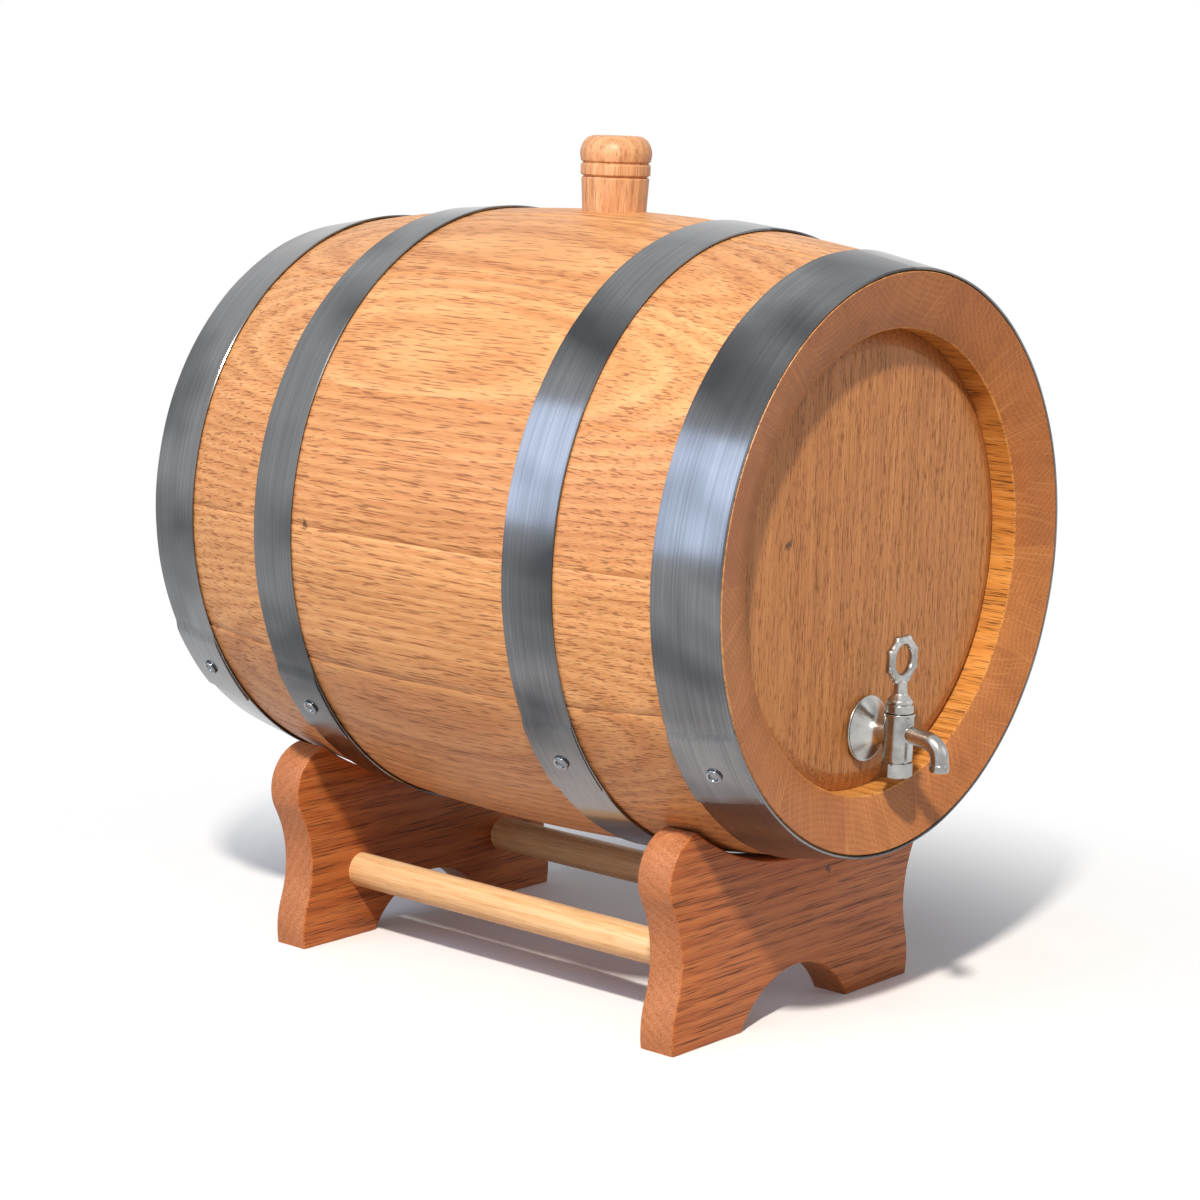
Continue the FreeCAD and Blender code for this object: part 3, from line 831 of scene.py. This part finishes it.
@dataclass
class Hoops:
    """Four lapped steel straps and the rivet through each lap."""

    form: CaskForm
    thickness: float = 1.2 * MM
    end_width: float = 30.5 * MM
    quarter_width: float = 25.0 * MM
    quarter_middle: float = 73.5 * MM
    clearance: float = 0.05 * MM
    corner: float = 0.34 * MM
    hammer_mark: float = 0.22 * MM
    wave_counts: Triple = (9, 16, 23)
    lap_length: float = 34.0 * MM
    lap_ramp: float = 6.0 * MM
    lap_clock: float = math.radians(126.5)
    lap_gap: float = 0.02 * MM
    rivet_radius: float = 3.6 * MM
    rivet_height: float = 1.3 * MM
    rivet_seat: float = 0.8 * MM
    rivet_turns: int = 40
    turns: int = 420
    first_seed: int = 11
    steel: SteelFinish = SteelFinish("rolled hoop steel")
    # the rivets' fourth colour is their cloudy dark patches: partly stains, partly painted dark
    # reflections
    rivet_steel: SteelFinish = SteelFinish("plated rivet steel", "#a9abae", "#75777b", "#55565a")

    def radii(self, middle: float, width: float) -> Pair:
        """Radius inside a straight strap at its two edges, clear of the wood's bulge.

        Args:
            middle: place of the strap's middle along the cask.
            width: the strap's width.

        Returns:
            The radius at the lower y, and at the higher y.
        """
        bulge = width ** 2 / (8 * self.form.bend) + self.clearance
        near, far = self.form.wood_radius(middle + np.array([-0.5, 0.5]) * width) + bulge
        return float(near), float(far)

    def strap(self, shell: Shell, middle: float, width: float, clock: np.ndarray,
              lift: np.ndarray, closed: bool, seed: int) -> None:
        """Carry the strap's section round the cask: a cone's radius, plus lift, plus waves.

        The section is a rectangle with its corners cut back. The slow waves stand for
        hammer marks: the mean of three sines of the clock angle.

        Args:
            shell: the shell that takes the surface.
            middle: place of the strap's middle along the cask.
            width: the strap's width.
            clock: clock angles, in radians.
            lift: height over the bare strap at each angle.
            closed: join the end to the start.
            seed: picks the waves.
        """
        half, thick, soft = width / 2, self.thickness, self.corner
        face = np.linspace(-1, 1, 9) * (half - soft)
        outline = np.array(
            [(-half, soft), (-half, thick - soft)] + [(along, thick) for along in face]
            + [(half, thick - soft), (half, soft), (half - soft, 0.0), (-half + soft, 0.0)])
        along, out = outline.T
        near, far = self.radii(middle, width)
        phases = np.random.default_rng(seed).uniform(0, FULL_TURN, len(self.wave_counts))
        waves = [np.sin(count * clock + phase)
                 for count, phase in zip(self.wave_counts, phases)]
        pulse = np.mean(waves, axis=0)
        marks = self.hammer_mark / 2 * (pulse[:, None] - 1) * (out > thick / 2)
        radius = near + (far - near) * (along / width + 0.5) + out + lift[:, None] + marks
        points = self.form.place(clock[:, None], middle + along, radius)
        grain = np.stack(np.broadcast_arrays(clock[:, None] * radius, middle + along, radius),
                         axis=-1)
        shell.add_loops(points, grain, closed)

    def build_one(self, node: str, middle: float, width: float, steel: Material,
                  seed: int) -> None:
        """Build one hoop: a closed ring and the strap's end lapped over it.

        Args:
            node: the CAD node it stands for.
            middle: place of its middle along the cask.
            width: its width.
            steel: its finish.
            seed: picks its hammer marks.
        """
        mean = sum(self.radii(middle, width)) / 2
        shell = Shell()
        ring = np.linspace(0, FULL_TURN, self.turns, endpoint=False)
        self.strap(shell, middle, width, ring, np.zeros_like(ring), True, seed)
        start = self.lap_clock - self.lap_length / mean / 2
        end = self.lap_clock + self.lap_length / mean / 2
        ramp = self.lap_ramp / mean
        lap = np.concatenate([np.linspace(start - ramp, start, 8)[:-1],
                              np.linspace(start, end, 16)])
        t = np.clip((lap - (start - ramp)) / ramp, 0, 1)
        lift = np.maximum(self.thickness * t * t * (3 - 2 * t), self.lap_gap)
        self.strap(shell, middle, width, lap, lift, False, seed)
        dress(shell.build(node + "_strap"), Body.CASK, Slot.HOOP_STEEL, node, steel)

    def rivet(self, shell: Shell, middle: float, width: float) -> None:
        """Add one pan-headed rivet with a dimple, turned upright and seated on a lap.

        Args:
            shell: the shell that takes the surface.
            middle: place of the hoop's middle along the cask.
            width: the hoop's width.
        """
        near, far = self.radii(middle, width)
        radius, height = self.rivet_radius, self.rivet_height
        profile = rounded([
            (0.75 * radius, -self.rivet_seat), (radius, 0.0), (radius, 0.6 * height),
            (0.84 * radius, height), (0.6 * radius, height), (0.5 * radius, 0.15 * height),
            (0.05 * radius, 0.1 * height)], 0.3 * MM)
        local = turned(profile, (0.0, 0.0, 0.0), Axis.ALONG_Z, self.rivet_turns)[0]
        tilt = np.array(Matrix.Rotation(math.atan2(far - near, width), 3, "X"))
        turn = np.array(Matrix.Rotation(-self.lap_clock, 3, "Y"))
        seat = (near + far) / 2 + 2 * self.thickness
        moved = (local @ tilt.T + np.array([0, middle, seat])) @ turn.T
        shell.add_loops(moved + np.array([0, self.form.middle_y, self.form.axis_z]), local)

    def build(self) -> None:
        """Build the hoops and their rivets."""
        steel, rivet_steel = self.steel.build(), self.rivet_steel.build()
        end_middle = self.form.half_length - self.end_width / 2
        places = (("front_end_hoop", -end_middle, self.end_width),
                  ("front_quarter_hoop", -self.quarter_middle, self.quarter_width),
                  ("rear_quarter_hoop", self.quarter_middle, self.quarter_width),
                  ("rear_end_hoop", end_middle, self.end_width))
        rivets = Shell()
        for seed, (node, middle, width) in enumerate(places, self.first_seed):
            self.build_one(node, middle, width, steel, seed)
            self.rivet(rivets, middle, width)
        dress(rivets.build("hoop_rivet_heads"), Body.CASK, Slot.RIVET_STEEL, "hoop_rivets",
              rivet_steel)


@dataclass
class Bung:
    """Turned oak bung with two grooves and a round cap."""

    form: CaskForm
    radius: float = 14.4 * MM
    taper: float = 0.057
    stand_in: float = 2.0 * MM
    foot_ease: Pair = (1.0 * MM, 1.2 * MM)
    low_groove: float = 14.8 * MM
    high_groove: float = 20.8 * MM
    groove_depth: float = 1.1 * MM
    groove_half: float = 0.8 * MM
    bead_radius: float = 15.6 * MM
    cap_radius: float = 16.1 * MM
    cap_widest: float = 24.6 * MM
    height: float = 32.75 * MM
    top_radius: float = 9.8 * MM
    centre_radius: float = 0.6 * MM
    turns: int = 96
    cut: Triple = (0.4, 0.03, 0.02)
    oak: OakFinish = OakFinish(
        "turned bung oak", "#e3b184", "#d69e6f", "#c38758", "#83522c", pore_depth=0.5,
        bump=0.15)

    def build(self) -> None:
        """Build the bung: a tapered shank, two grooves and a quarter ellipse, about Z."""
        bottom = -self.form.stave_thickness - self.stand_in
        shank_top = self.low_groove - self.groove_half
        low_radius = self.radius + self.taper * bottom
        shank_radius = self.radius + self.taper * shank_top
        angle = np.linspace(0, math.pi / 2, 14)
        cap = np.stack([
            self.top_radius + (self.cap_radius - self.top_radius) * np.cos(angle),
            self.cap_widest + (self.height - self.cap_widest) * np.sin(angle)], axis=1)
        body = rounded([
            (self.centre_radius, bottom), (low_radius - self.foot_ease[0], bottom),
            (low_radius, bottom + self.foot_ease[1]), (shank_radius, shank_top),
            (shank_radius - self.groove_depth, self.low_groove),
            (self.bead_radius, self.low_groove + self.groove_half),
            (self.bead_radius, self.high_groove - self.groove_half),
            (self.bead_radius - self.groove_depth, self.high_groove),
            (self.bead_radius, self.high_groove + self.groove_half),
            (self.cap_radius, self.cap_widest)], 0.35 * MM)
        profile = np.concatenate([body[:-1], cap, [[self.centre_radius, self.height]]])
        centre = (0.0, self.form.middle_y, self.form.axis_z + self.form.belly_radius)
        points, local = turned(profile, centre, Axis.ALONG_Z, self.turns)
        shell = Shell()
        shell.add_loops(points, local + np.array(self.cut))
        dress(shell.build("bung_turned"), Body.BUNG, Slot.BUNG_OAK, "bung", self.oak.build())


@dataclass
class Tap:
    """Plug tap: cast body with trumpet flange and bent spout, and a key with a ring."""

    form: CaskForm
    nodes: Dict[str, Piece]
    drop: float = 72.0 * MM
    seal: float = 1.0 * MM
    flange_radius: float = 14.4 * MM
    flange_edge: float = 1.4 * MM
    flange_ease: float = 0.5 * MM
    flare_length: float = 8.4 * MM
    flare_power: float = 2.3
    flare_shoulder: float = 0.7 * MM
    neck_radius: float = 5.5 * MM
    barrel_out: float = 18.0 * MM
    barrel_radius: float = 6.5 * MM
    barrel_top: float = 9.4 * MM
    barrel_bottom: float = -11.2 * MM
    lip_radius: float = 6.9 * MM
    lip_height: float = 1.2 * MM
    spout_out: float = 39.3 * MM
    spout_rise: float = 1.6 * MM
    spout_slope: float = math.radians(7.0)
    spout_bend: float = 7.5 * MM
    spout_root: float = 3.5 * MM
    spout_radius: float = 3.9 * MM
    tip_radius: float = 4.25 * MM
    tip_length: float = 3.0 * MM
    tip_step: float = 0.5 * MM
    tip_ease: float = 0.4 * MM
    spout_end: float = -12.8 * MM
    key_gap: float = 0.1 * MM
    key_turning: Tuple[Pair, ...] = (
        (6.0 * MM, 0.0), (6.0 * MM, 3.6 * MM), (5.0 * MM, 3.8 * MM), (5.6 * MM, 4.2 * MM),
        (5.6 * MM, 5.3 * MM), (3.1 * MM, 8.2 * MM))
    key_neck: float = 2.7 * MM
    key_neck_ease: float = 1.0 * MM
    ring_height: float = 32.4 * MM
    ring_radius: float = 8.2 * MM
    ring_wire: float = 2.0 * MM
    ring_steps: int = 96
    bead_count: int = 8
    bead_circle: float = 9.0 * MM
    bead_radius: float = 2.1 * MM
    fillet: float = 0.3 * MM
    core: float = 0.5 * MM
    key_core: float = 0.4 * MM
    turns: int = 72
    voxel: float = 0.22 * MM
    plate: CastMetalFinish = CastMetalFinish("nickel plated casting")
    rubber: RubberFinish = RubberFinish("black seal rubber")

    def point(self, out: float, height: float) -> np.ndarray:
        """Place out from the head's face and up from the tap's axis."""
        face = self.form.middle_y - (self.form.half_length - self.form.head_setback)
        return np.array([0.0, face - out, self.form.axis_z - self.drop + height])

    def turn(self, shell: Shell, profile: np.ndarray, centre: np.ndarray, axis: Axis,
             turns: int) -> None:
        """Add a turned profile, with grain space as its height and the two across it."""
        shell.add_loops(*turned(profile, centre, axis, turns))

    def cast(self, shell: Shell, name: str, body: Body, node: str, plate: Material) -> None:
        """Melt overlapping shells into one casting with small fillets.

        Args:
            shell: the overlapping shells.
            name: the piece's name.
            body: the body it moves with.
            node: the CAD node it stands for.
            plate: its finish.
        """
        piece = shell.build(name, smooth=False)
        melt = piece.modifiers.new("melt", "REMESH")
        melt.mode = "VOXEL"
        melt.voxel_size = self.voxel
        soften = piece.modifiers.new("soften", "SMOOTH")
        soften.factor = 0.5
        soften.iterations = 5
        bpy.context.view_layer.update()
        graph = bpy.context.evaluated_depsgraph_get()
        mesh = bpy.data.meshes.new_from_object(piece.evaluated_get(graph))
        mesh.shade_smooth()
        piece.modifiers.clear()
        piece.data = mesh
        dress(piece, body, Slot.NICKEL_PLATE, node, plate)

    def build_body(self, plate: Material) -> None:
        """Build flange, neck, barrel and spout as one casting: its flare is a power curve."""
        shell = Shell()
        rim = self.seal + self.flange_edge
        t = np.linspace(0, 1, 14)
        shoulder = self.flange_radius - self.flare_shoulder - self.neck_radius
        flare = np.stack([self.neck_radius + shoulder * (1 - t) ** self.flare_power,
                          rim + self.flare_length * t], axis=1)
        flange = np.concatenate([
            [[self.core, self.seal], [self.flange_radius - self.flange_ease, self.seal],
             [self.flange_radius, self.seal + self.flange_ease],
             [self.flange_radius - 0.1 * MM, rim]],
            flare, [[self.neck_radius, self.barrel_out], [self.core, self.barrel_out]]])
        self.turn(shell, flange * (1, -1), self.point(0, 0), Axis.ALONG_Y, self.turns)
        barrel = rounded([
            (self.core, self.barrel_bottom), (self.barrel_radius, self.barrel_bottom),
            (self.barrel_radius, self.barrel_top - self.lip_height),
            (self.lip_radius, self.barrel_top - 0.9 * self.lip_height),
            (self.lip_radius, self.barrel_top), (self.core, self.barrel_top)], self.fillet)
        self.turn(shell, barrel, self.point(self.barrel_out, 0), Axis.ALONG_Z, self.turns)
        spout = tube(*self.spout_path(), (1, 0, 0), 48)
        shell.add_loops(spout, spout)
        self.cast(shell, "tap_casting", Body.CASK, "tap_body", plate)

    def spout_path(self) -> Tuple[np.ndarray, np.ndarray]:
        """Centre line and radii of the spout: a slope, a quarter bend and a thicker tip.

        Returns:
            Points of the line, and the radius at each.
        """
        bend_out = self.spout_out - self.spout_bend
        slope_out = bend_out + self.spout_bend * math.sin(self.spout_slope)
        slope_height = self.spout_rise - (slope_out - self.barrel_out) * math.tan(self.spout_slope)
        bend_height = slope_height - self.spout_bend * math.cos(self.spout_slope)
        slope = np.linspace((self.barrel_out, self.spout_rise, self.spout_root),
                            (slope_out, slope_height, self.spout_radius), 10)
        turn = np.linspace(self.spout_slope, math.pi / 2, 20)[1:]
        bend = np.stack([bend_out + self.spout_bend * np.sin(turn),
                         bend_height + self.spout_bend * np.cos(turn),
                         np.full_like(turn, self.spout_radius)], axis=1)
        tip = self.spout_end + self.tip_length
        end = [(self.spout_out, tip + self.tip_step, self.spout_radius),
               (self.spout_out, tip, self.tip_radius),
               (self.spout_out, self.spout_end + self.tip_ease, self.tip_radius),
               (self.spout_out, self.spout_end, self.tip_radius - self.tip_ease)]
        table = np.concatenate([slope, bend, end])
        return np.stack([self.point(out, height) for out, height in table[:, :2]]), table[:, 2]

    def build_key(self, plate: Material) -> None:
        """Build collar, neck, ring and its beads as one casting."""
        base = self.barrel_top + self.key_gap
        ring_foot = self.ring_height - self.ring_radius
        shell = Shell()
        profile = rounded(
            [(self.key_core, base)] + [(out, base + up) for out, up in self.key_turning]
            + [(self.key_neck, ring_foot - self.key_neck_ease), (self.key_core, ring_foot)],
            self.fillet)
        self.turn(shell, profile, self.point(self.barrel_out, 0), Axis.ALONG_Z, 64)
        centre = self.point(self.barrel_out, self.ring_height)
        angle = np.linspace(0, FULL_TURN, self.ring_steps, endpoint=False)
        path = centre + self.ring_radius * np.stack(
            [np.sin(angle), np.zeros_like(angle), np.cos(angle)], axis=1)
        ring = tube(path, np.full_like(angle, self.ring_wire), (0, 1, 0), 28, closed=True)
        shell.add_loops(ring, ring, closed=True)
        latitude = np.linspace(-math.pi / 2, math.pi / 2, 14)[1:-1]
        half_circle = self.bead_radius * np.stack([np.cos(latitude), np.sin(latitude)], axis=1)
        for number in range(self.bead_count):
            turn = FULL_TURN * (number + 0.5) / self.bead_count
            offset = self.bead_circle * np.array([math.sin(turn), 0, math.cos(turn)])
            self.turn(shell, half_circle, centre + offset, Axis.ALONG_Z, 20)
        self.cast(shell, "tap_key_casting", Body.TAP_KEY, "tap_key", plate)

    def build(self) -> None:
        """Build the castings and dress the small CAD pieces that stay."""
        plate, rubber = self.plate.build(), self.rubber.build()
        self.build_body(plate)
        self.build_key(plate)
        for node, material in (("tap_seal", rubber), ("key_washer", plate), ("key_nut", plate)):
            self.nodes[node].data.materials.clear()
            self.nodes[node].data.materials.append(material)
            LOG.info("%s: the packed piece, dressed", node)


@dataclass
class Cradle:
    """Two sawn boards with a saddle, horns, waists, feet and an arch, and two dowels."""

    form: CaskForm
    thickness: float = 18.0 * MM
    middle: float = 109.5 * MM
    saddle_clearance: float = 0.3 * MM
    horn_radius: float = 20.0 * MM
    horn_x: float = 72.5 * MM
    horn_z: float = 75.0 * MM
    waist_half: float = 82.3 * MM
    waist_z: float = 38.0 * MM
    foot_half: float = 87.2 * MM
    foot_z: float = 8.0 * MM
    arch_half: float = 39.0 * MM
    arch_height: float = 22.5 * MM
    ease: float = 0.9 * MM
    dowel_radius: float = 8.0 * MM
    dowel_x: float = 50.0 * MM
    dowel_z: float = 32.0 * MM
    dowel_seat: float = 9.0 * MM
    dowel_ease: float = 0.6 * MM
    dowel_core: float = 0.5 * MM
    dowel_turns: int = 56
    oak: OakFinish = OakFinish(
        "oiled cradle oak", "#da8b4c", "#c6733a", "#ad5c29", "#4c2410", pore_width=0.5,
        pore_length=24.0, pore_depth=0.8, ring_spacing=5.0 * MM,
        knot=Knot((20.2 * MM, -104.2 * MM, 62.5 * MM), 3.0 * MM))
    sawn: OakFinish = OakFinish(
        "sawn edge oak", "#cf9165", "#be7b4e", "#a8663d", "#7f4a2b", pore_width=1.1,
        pore_length=9.0, pore_depth=0.35, ring_contrast=0.2, roughness=0.6)
    dowel_wood: OakFinish = OakFinish(
        "pale turned dowel wood", "#f8d6a6", "#f0c48f", "#dcab72", "#b98550",
        pore_depth=0.35, ring_contrast=0.3, bump=0.1)

    @staticmethod
    def sweep(centre: Sequence[float], radius: float, start: float, end: float,
              steps: int) -> np.ndarray:
        """Arc about a centre: c + r (cos t, sin t).

        Args:
            centre: its x and z.
            radius: its radius.
            start: angle of its first point.
            end: angle of its last point.
            steps: number of points.

        Returns:
            Rows of x and z.
        """
        angle = np.linspace(start, end, steps)
        return np.array(centre) + radius * np.stack([np.cos(angle), np.sin(angle)], axis=1)

    def outline(self) -> np.ndarray:
        """Outline of a board: foot, waist and horn arcs that meet tangent, saddle and arch.

        Returns:
            Rows of x and z, anticlockwise.
        """
        reach = self.waist_half - self.horn_x
        drop = self.horn_z - self.waist_z
        waist_radius = (reach ** 2 + drop ** 2 - self.horn_radius ** 2) / (
            2 * (self.horn_radius - reach))
        swell = self.foot_half - self.waist_half
        fall = self.waist_z - self.foot_z
        foot_radius = (fall ** 2 + swell ** 2 - 2 * swell * waist_radius) / (2 * swell)
        waist = np.array([self.waist_half + waist_radius, self.waist_z])
        foot = np.array([self.foot_half - foot_radius, self.foot_z])
        horn = np.array([self.horn_x, self.horn_z])
        foot_turn = math.atan2(*(foot - waist)[::-1])
        horn_turn = math.atan2(*(horn - waist)[::-1]) % FULL_TURN
        foot_start = -math.asin(self.foot_z / foot_radius)
        saddle = self.saddle_clearance + float(
            self.form.wood_radius(self.middle - self.thickness / 2))
        axis = np.array([0.0, self.form.axis_z])
        toward = horn - axis
        gap = np.linalg.norm(toward)
        along = (gap ** 2 + saddle ** 2 - self.horn_radius ** 2) / (2 * gap)
        across = math.sqrt(saddle ** 2 - along ** 2)
        toward = toward / gap
        top = axis + toward * along + np.array([-toward[1], toward[0]]) * across
        top_turn = math.atan2(*(top - horn)[::-1])
        side = np.concatenate([
            self.sweep(foot, foot_radius, foot_start, (foot_turn + math.pi) % FULL_TURN, 12),
            self.sweep(waist, waist_radius, foot_turn % FULL_TURN, horn_turn, 18)[1:],
            self.sweep(horn, self.horn_radius, horn_turn - math.pi, top_turn, 22)[1:]])
        saddle_turn = math.asin(top[0] / saddle)
        bowl = self.sweep(axis, saddle, saddle_turn - math.pi / 2, -saddle_turn - math.pi / 2, 48)
        arch_radius = (self.arch_half ** 2 + self.arch_height ** 2) / (2 * self.arch_height)
        arch_turn = math.asin(self.arch_half / arch_radius)
        arch = self.sweep((0, self.arch_height - arch_radius), arch_radius,
                          math.pi / 2 + arch_turn, math.pi / 2 - arch_turn, 30)
        return np.concatenate([side, bowl[1:-1], side[::-1] * (-1, 1), arch])

    def board(self, node: str, side: int, oak: Material, sawn: Material, tone: float,
              cut: Triple) -> None:
        """Build one board: the outline carried through its thickness, drawn in at its edges.

        Args:
            node: the CAD node it stands for.
            side: -1 for the front, 1 for the rear.
            oak: the finish of its faces.
            sawn: the finish of its sawn edges.
            tone: how dark it is.
            cut: where it was cut from the tree.
        """
        outline = self.outline()
        steps = (np.roll(outline, -1, 0) - outline, outline - np.roll(outline, 1, 0))
        tangent = sum(step / np.linalg.norm(step, axis=1)[:, None] for step in steps)
        tangent = tangent / np.linalg.norm(tangent, axis=1)[:, None]
        inward = np.stack([-tangent[:, 1], tangent[:, 0]], axis=1)
        turn = np.linspace(0, math.pi / 2, 5)
        inset = self.ease * (1 - np.sin(turn))
        depth = self.thickness / 2 - self.ease * (1 - np.cos(turn))
        depths = np.concatenate([-depth, depth[::-1]])[:, None]
        insets = np.concatenate([inset, inset[::-1]])[:, None, None]
        x, z = np.moveaxis(outline + inward * insets, -1, 0)
        z = np.maximum(z, 0.0)
        y = self.form.middle_y + side * self.middle + depths * np.ones(len(outline))
        shell = Shell()
        shell.add_loops(np.stack([x, y, z], axis=-1),
                        np.stack([x, z, y], axis=-1) + np.array(cut), tone=tone)
        piece = shell.build(node + "_sawn")
        normal = dress(piece, Body.STAND, Slot.CRADLE_OAK, node, oak, sawn)[1]
        piece.data.polygons.foreach_set(
            "material_index", (np.abs(normal[:, 1]) < 0.5).astype(np.int32))

    def dowel(self, node: str, side: int, wood: Material) -> None:
        """Build one dowel, turned about Y, with its ends in the boards.

        Args:
            node: the CAD node it stands for.
            side: -1 for the left, 1 for the right.
            wood: its finish.
        """
        reach = self.middle - self.thickness / 2 + self.dowel_seat
        ends = rounded([
            (self.dowel_core, -reach), (self.dowel_radius, -reach), (self.dowel_radius, reach),
            (self.dowel_core, reach)], self.dowel_ease)
        along = np.linspace((self.dowel_radius, -0.99 * reach),
                            (self.dowel_radius, 0.99 * reach), 24)
        low, high = np.split(ends, 2)
        points, local = turned(
            np.concatenate([low, along, high]),
            (side * self.dowel_x, self.form.middle_y, self.dowel_z), Axis.ALONG_Y,
            self.dowel_turns)
        shell = Shell()
        shell.add_loops(points, local + np.array([0.3 * side, 0.05, 0.03]))
        dress(shell.build(node + "_turned"), Body.STAND, Slot.DOWEL_BEECH, node, wood)

    def build(self) -> None:
        """Build boards and dowels."""
        oak, sawn, wood = (each.build() for each in (self.oak, self.sawn, self.dowel_wood))
        self.board("front_cradle_board", -1, oak, sawn, 0.1, (0.9, 0.05, 0.03))
        self.board("rear_cradle_board", 1, oak, sawn, 0.15, (-0.4, 0.04, 0.02))
        self.dowel("left_dowel", -1, wood)
        self.dowel("right_dowel", 1, wood)


@dataclass(frozen=True)
class Lamp:
    """A square soft box: where it stands, its size in metres, watts and colour."""

    name: str
    place: Triple
    size: float
    power: float
    colour: str


@dataclass
class Studio:
    """Pale floor, soft light, and the camera at the photograph's angle."""

    form: CaskForm
    azimuth: float = math.radians(-50.5)
    elevation: float = math.radians(9.91)
    roll: float = math.radians(1.9)
    distance: float = 1368.3 * MM
    shift_right: float = 1.80 * MM
    shift_up: float = 36.29 * MM
    focal_pixels: float = 3011.8
    image_pixels: float = 1200.0
    sensor: float = 36.0
    floor_reach: float = 6.0
    paper_size: float = 33.3333 * MM
    paper_bounce: str = "#b09a88"
    shadow_reach: Pair = (0.16, 0.42)
    surround: str = "#eef3fa"
    surround_strength: float = 0.37
    lamps: Tuple[Lamp, ...] = (
        Lamp("key soft box", (-1.5, -0.9, 1.9), 0.15, 70.0, "#fff5ea"),
        Lamp("fill soft box", (0.9, -1.9, 1.0), 1.2, 3.5, "#f2f6ff"),
        Lamp("side soft box", (-1.65, 0.55, 0.95), 1.3, 13.0, "#c9ddff"))

    def camera(self) -> None:
        """Aim a camera at the cask's middle and move it square to its line of sight."""
        back = np.array([math.sin(self.azimuth) * math.cos(self.elevation),
                         -math.cos(self.azimuth) * math.cos(self.elevation),
                         math.sin(self.elevation)])
        right = np.cross(-back, [0, 0, 1])
        right /= np.linalg.norm(right)
        up = np.cross(right, -back)
        turned_right = math.cos(self.roll) * right + math.sin(self.roll) * up
        turned_up = -math.sin(self.roll) * right + math.cos(self.roll) * up
        place = (np.array([0, self.form.middle_y, self.form.axis_z]) + back * self.distance
                 - turned_right * self.shift_right - turned_up * self.shift_up)
        data = bpy.data.cameras.new("camera")
        data.sensor_width = self.sensor
        data.lens = self.sensor * self.focal_pixels / self.image_pixels
        camera = bpy.data.objects.new("camera", data)
        axes = Matrix([turned_right, turned_up, back]).transposed().to_4x4()
        camera.matrix_world = Matrix.Translation(Vector(place)) @ axes
        bpy.context.scene.collection.objects.link(camera)
        bpy.context.scene.camera = camera

    def light(self, lamp: Lamp) -> None:
        """Hang one soft box, aimed at the cask."""
        data = bpy.data.lights.new(lamp.name, "AREA")
        data.size = lamp.size
        data.energy = lamp.power
        data.color = linear(lamp.colour)[:3]
        hung = bpy.data.objects.new(lamp.name, data)
        hung.location = lamp.place
        aim = Vector((0, self.form.middle_y, self.form.axis_z)) - Vector(lamp.place)
        hung.rotation_euler = aim.to_track_quat("-Z", "Y").to_euler()
        bpy.context.scene.collection.objects.link(hung)

    @staticmethod
    def seen(s: Shader, path: Node) -> Node:
        """Add a mask that is one for rays from the camera or off gloss or through glass."""
        near = s.add("Math", {0: path.outputs["Is Camera Ray"], 1: path.outputs["Is Glossy Ray"]},
                     operation="MAXIMUM")
        return s.add("Math", {0: near, 1: path.outputs["Is Transmission Ray"]},
                     operation="MAXIMUM")

    def floor(self) -> None:
        """Lay a wide floor that keeps the cask's shadow, and is plain white away from it."""
        reach = self.floor_reach
        mesh = bpy.data.meshes.new("floor")
        mesh.from_pydata([(-reach, -reach, 0), (reach, -reach, 0), (reach, reach, 0),
                          (-reach, reach, 0)], [], [(0, 1, 2, 3)])
        floor = bpy.data.objects.new("floor", mesh)
        bpy.context.scene.collection.objects.link(floor)
        s = Shader(bpy.data.materials.new("matt white floor paper"))
        place = s.add("TexCoord").outputs["Object"]
        path = s.add("LightPath")
        fibre = s.add("TexNoise", {
            "Vector": place, "Scale": 1 / self.paper_size, "Detail": 3.0})
        tone = s.add("ValToRGB", {"Fac": fibre}, [(0.3, "#fafafa"), (0.7, "#fdfdfd")])
        bounce = s.add("Mix", {"Factor": path.outputs["Is Diffuse Ray"], "A": tone,
                               "B": self.paper_bounce}, data_type="RGBA")
        paper = s.add("BsdfPrincipled", {
            "Base Color": bounce, "Roughness": 0.9, "Specular IOR Level": 0.1})
        white = s.add("Emission", {"Color": "#ffffff", "Strength": 1.0})
        gap = s.add("VectorMath", {0: place, 1: (0.0, self.form.middle_y, 0.0)},
                    operation="DISTANCE")
        far = s.add("MapRange", {"Value": gap, "From Min": self.shadow_reach[0],
                                 "From Max": self.shadow_reach[1]},
                    interpolation_type="SMOOTHSTEP")
        share = s.add("Math", {0: far, 1: self.seen(s, path)}, operation="MULTIPLY")
        mixed = s.add("MixShader", {0: share, 1: paper, 2: white})
        mesh.materials.append(s.finish(mixed))

    def world(self) -> None:
        """Even pale surround: white to the camera and to gloss, softer as light."""
        s = Shader(bpy.data.worlds.new("surround"))
        light = s.add("Background", {
            "Color": self.surround, "Strength": self.surround_strength})
        white = s.add("Background", {"Color": "#ffffff", "Strength": 1.0})
        mixed = s.add("MixShader", {0: self.seen(s, s.add("LightPath")), 1: light, 2: white})
        s.add("OutputWorld", {"Surface": mixed})
        bpy.context.scene.world = s.owner

    def build(self) -> None:
        """Set camera, floor, surround and lamps."""
        self.camera()
        self.floor()
        self.world()
        for lamp in self.lamps:
            self.light(lamp)
        bpy.context.scene.view_settings.view_transform = "Standard"


def main(frame: Dict) -> None:
    """Build the sub-assemblies in order.
    """
    logging.basicConfig(level=logging.INFO, format="%(message)s")
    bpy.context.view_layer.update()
    form = CaskForm()
    for part in (Staves(form), Heads(form), Hoops(form), Bung(form), Tap(form, frame["nodes"]),
                 Cradle(form), Studio(form)):
        part.build()
    bpy.context.view_layer.update()


if __name__ == "__main__":
    main(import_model())
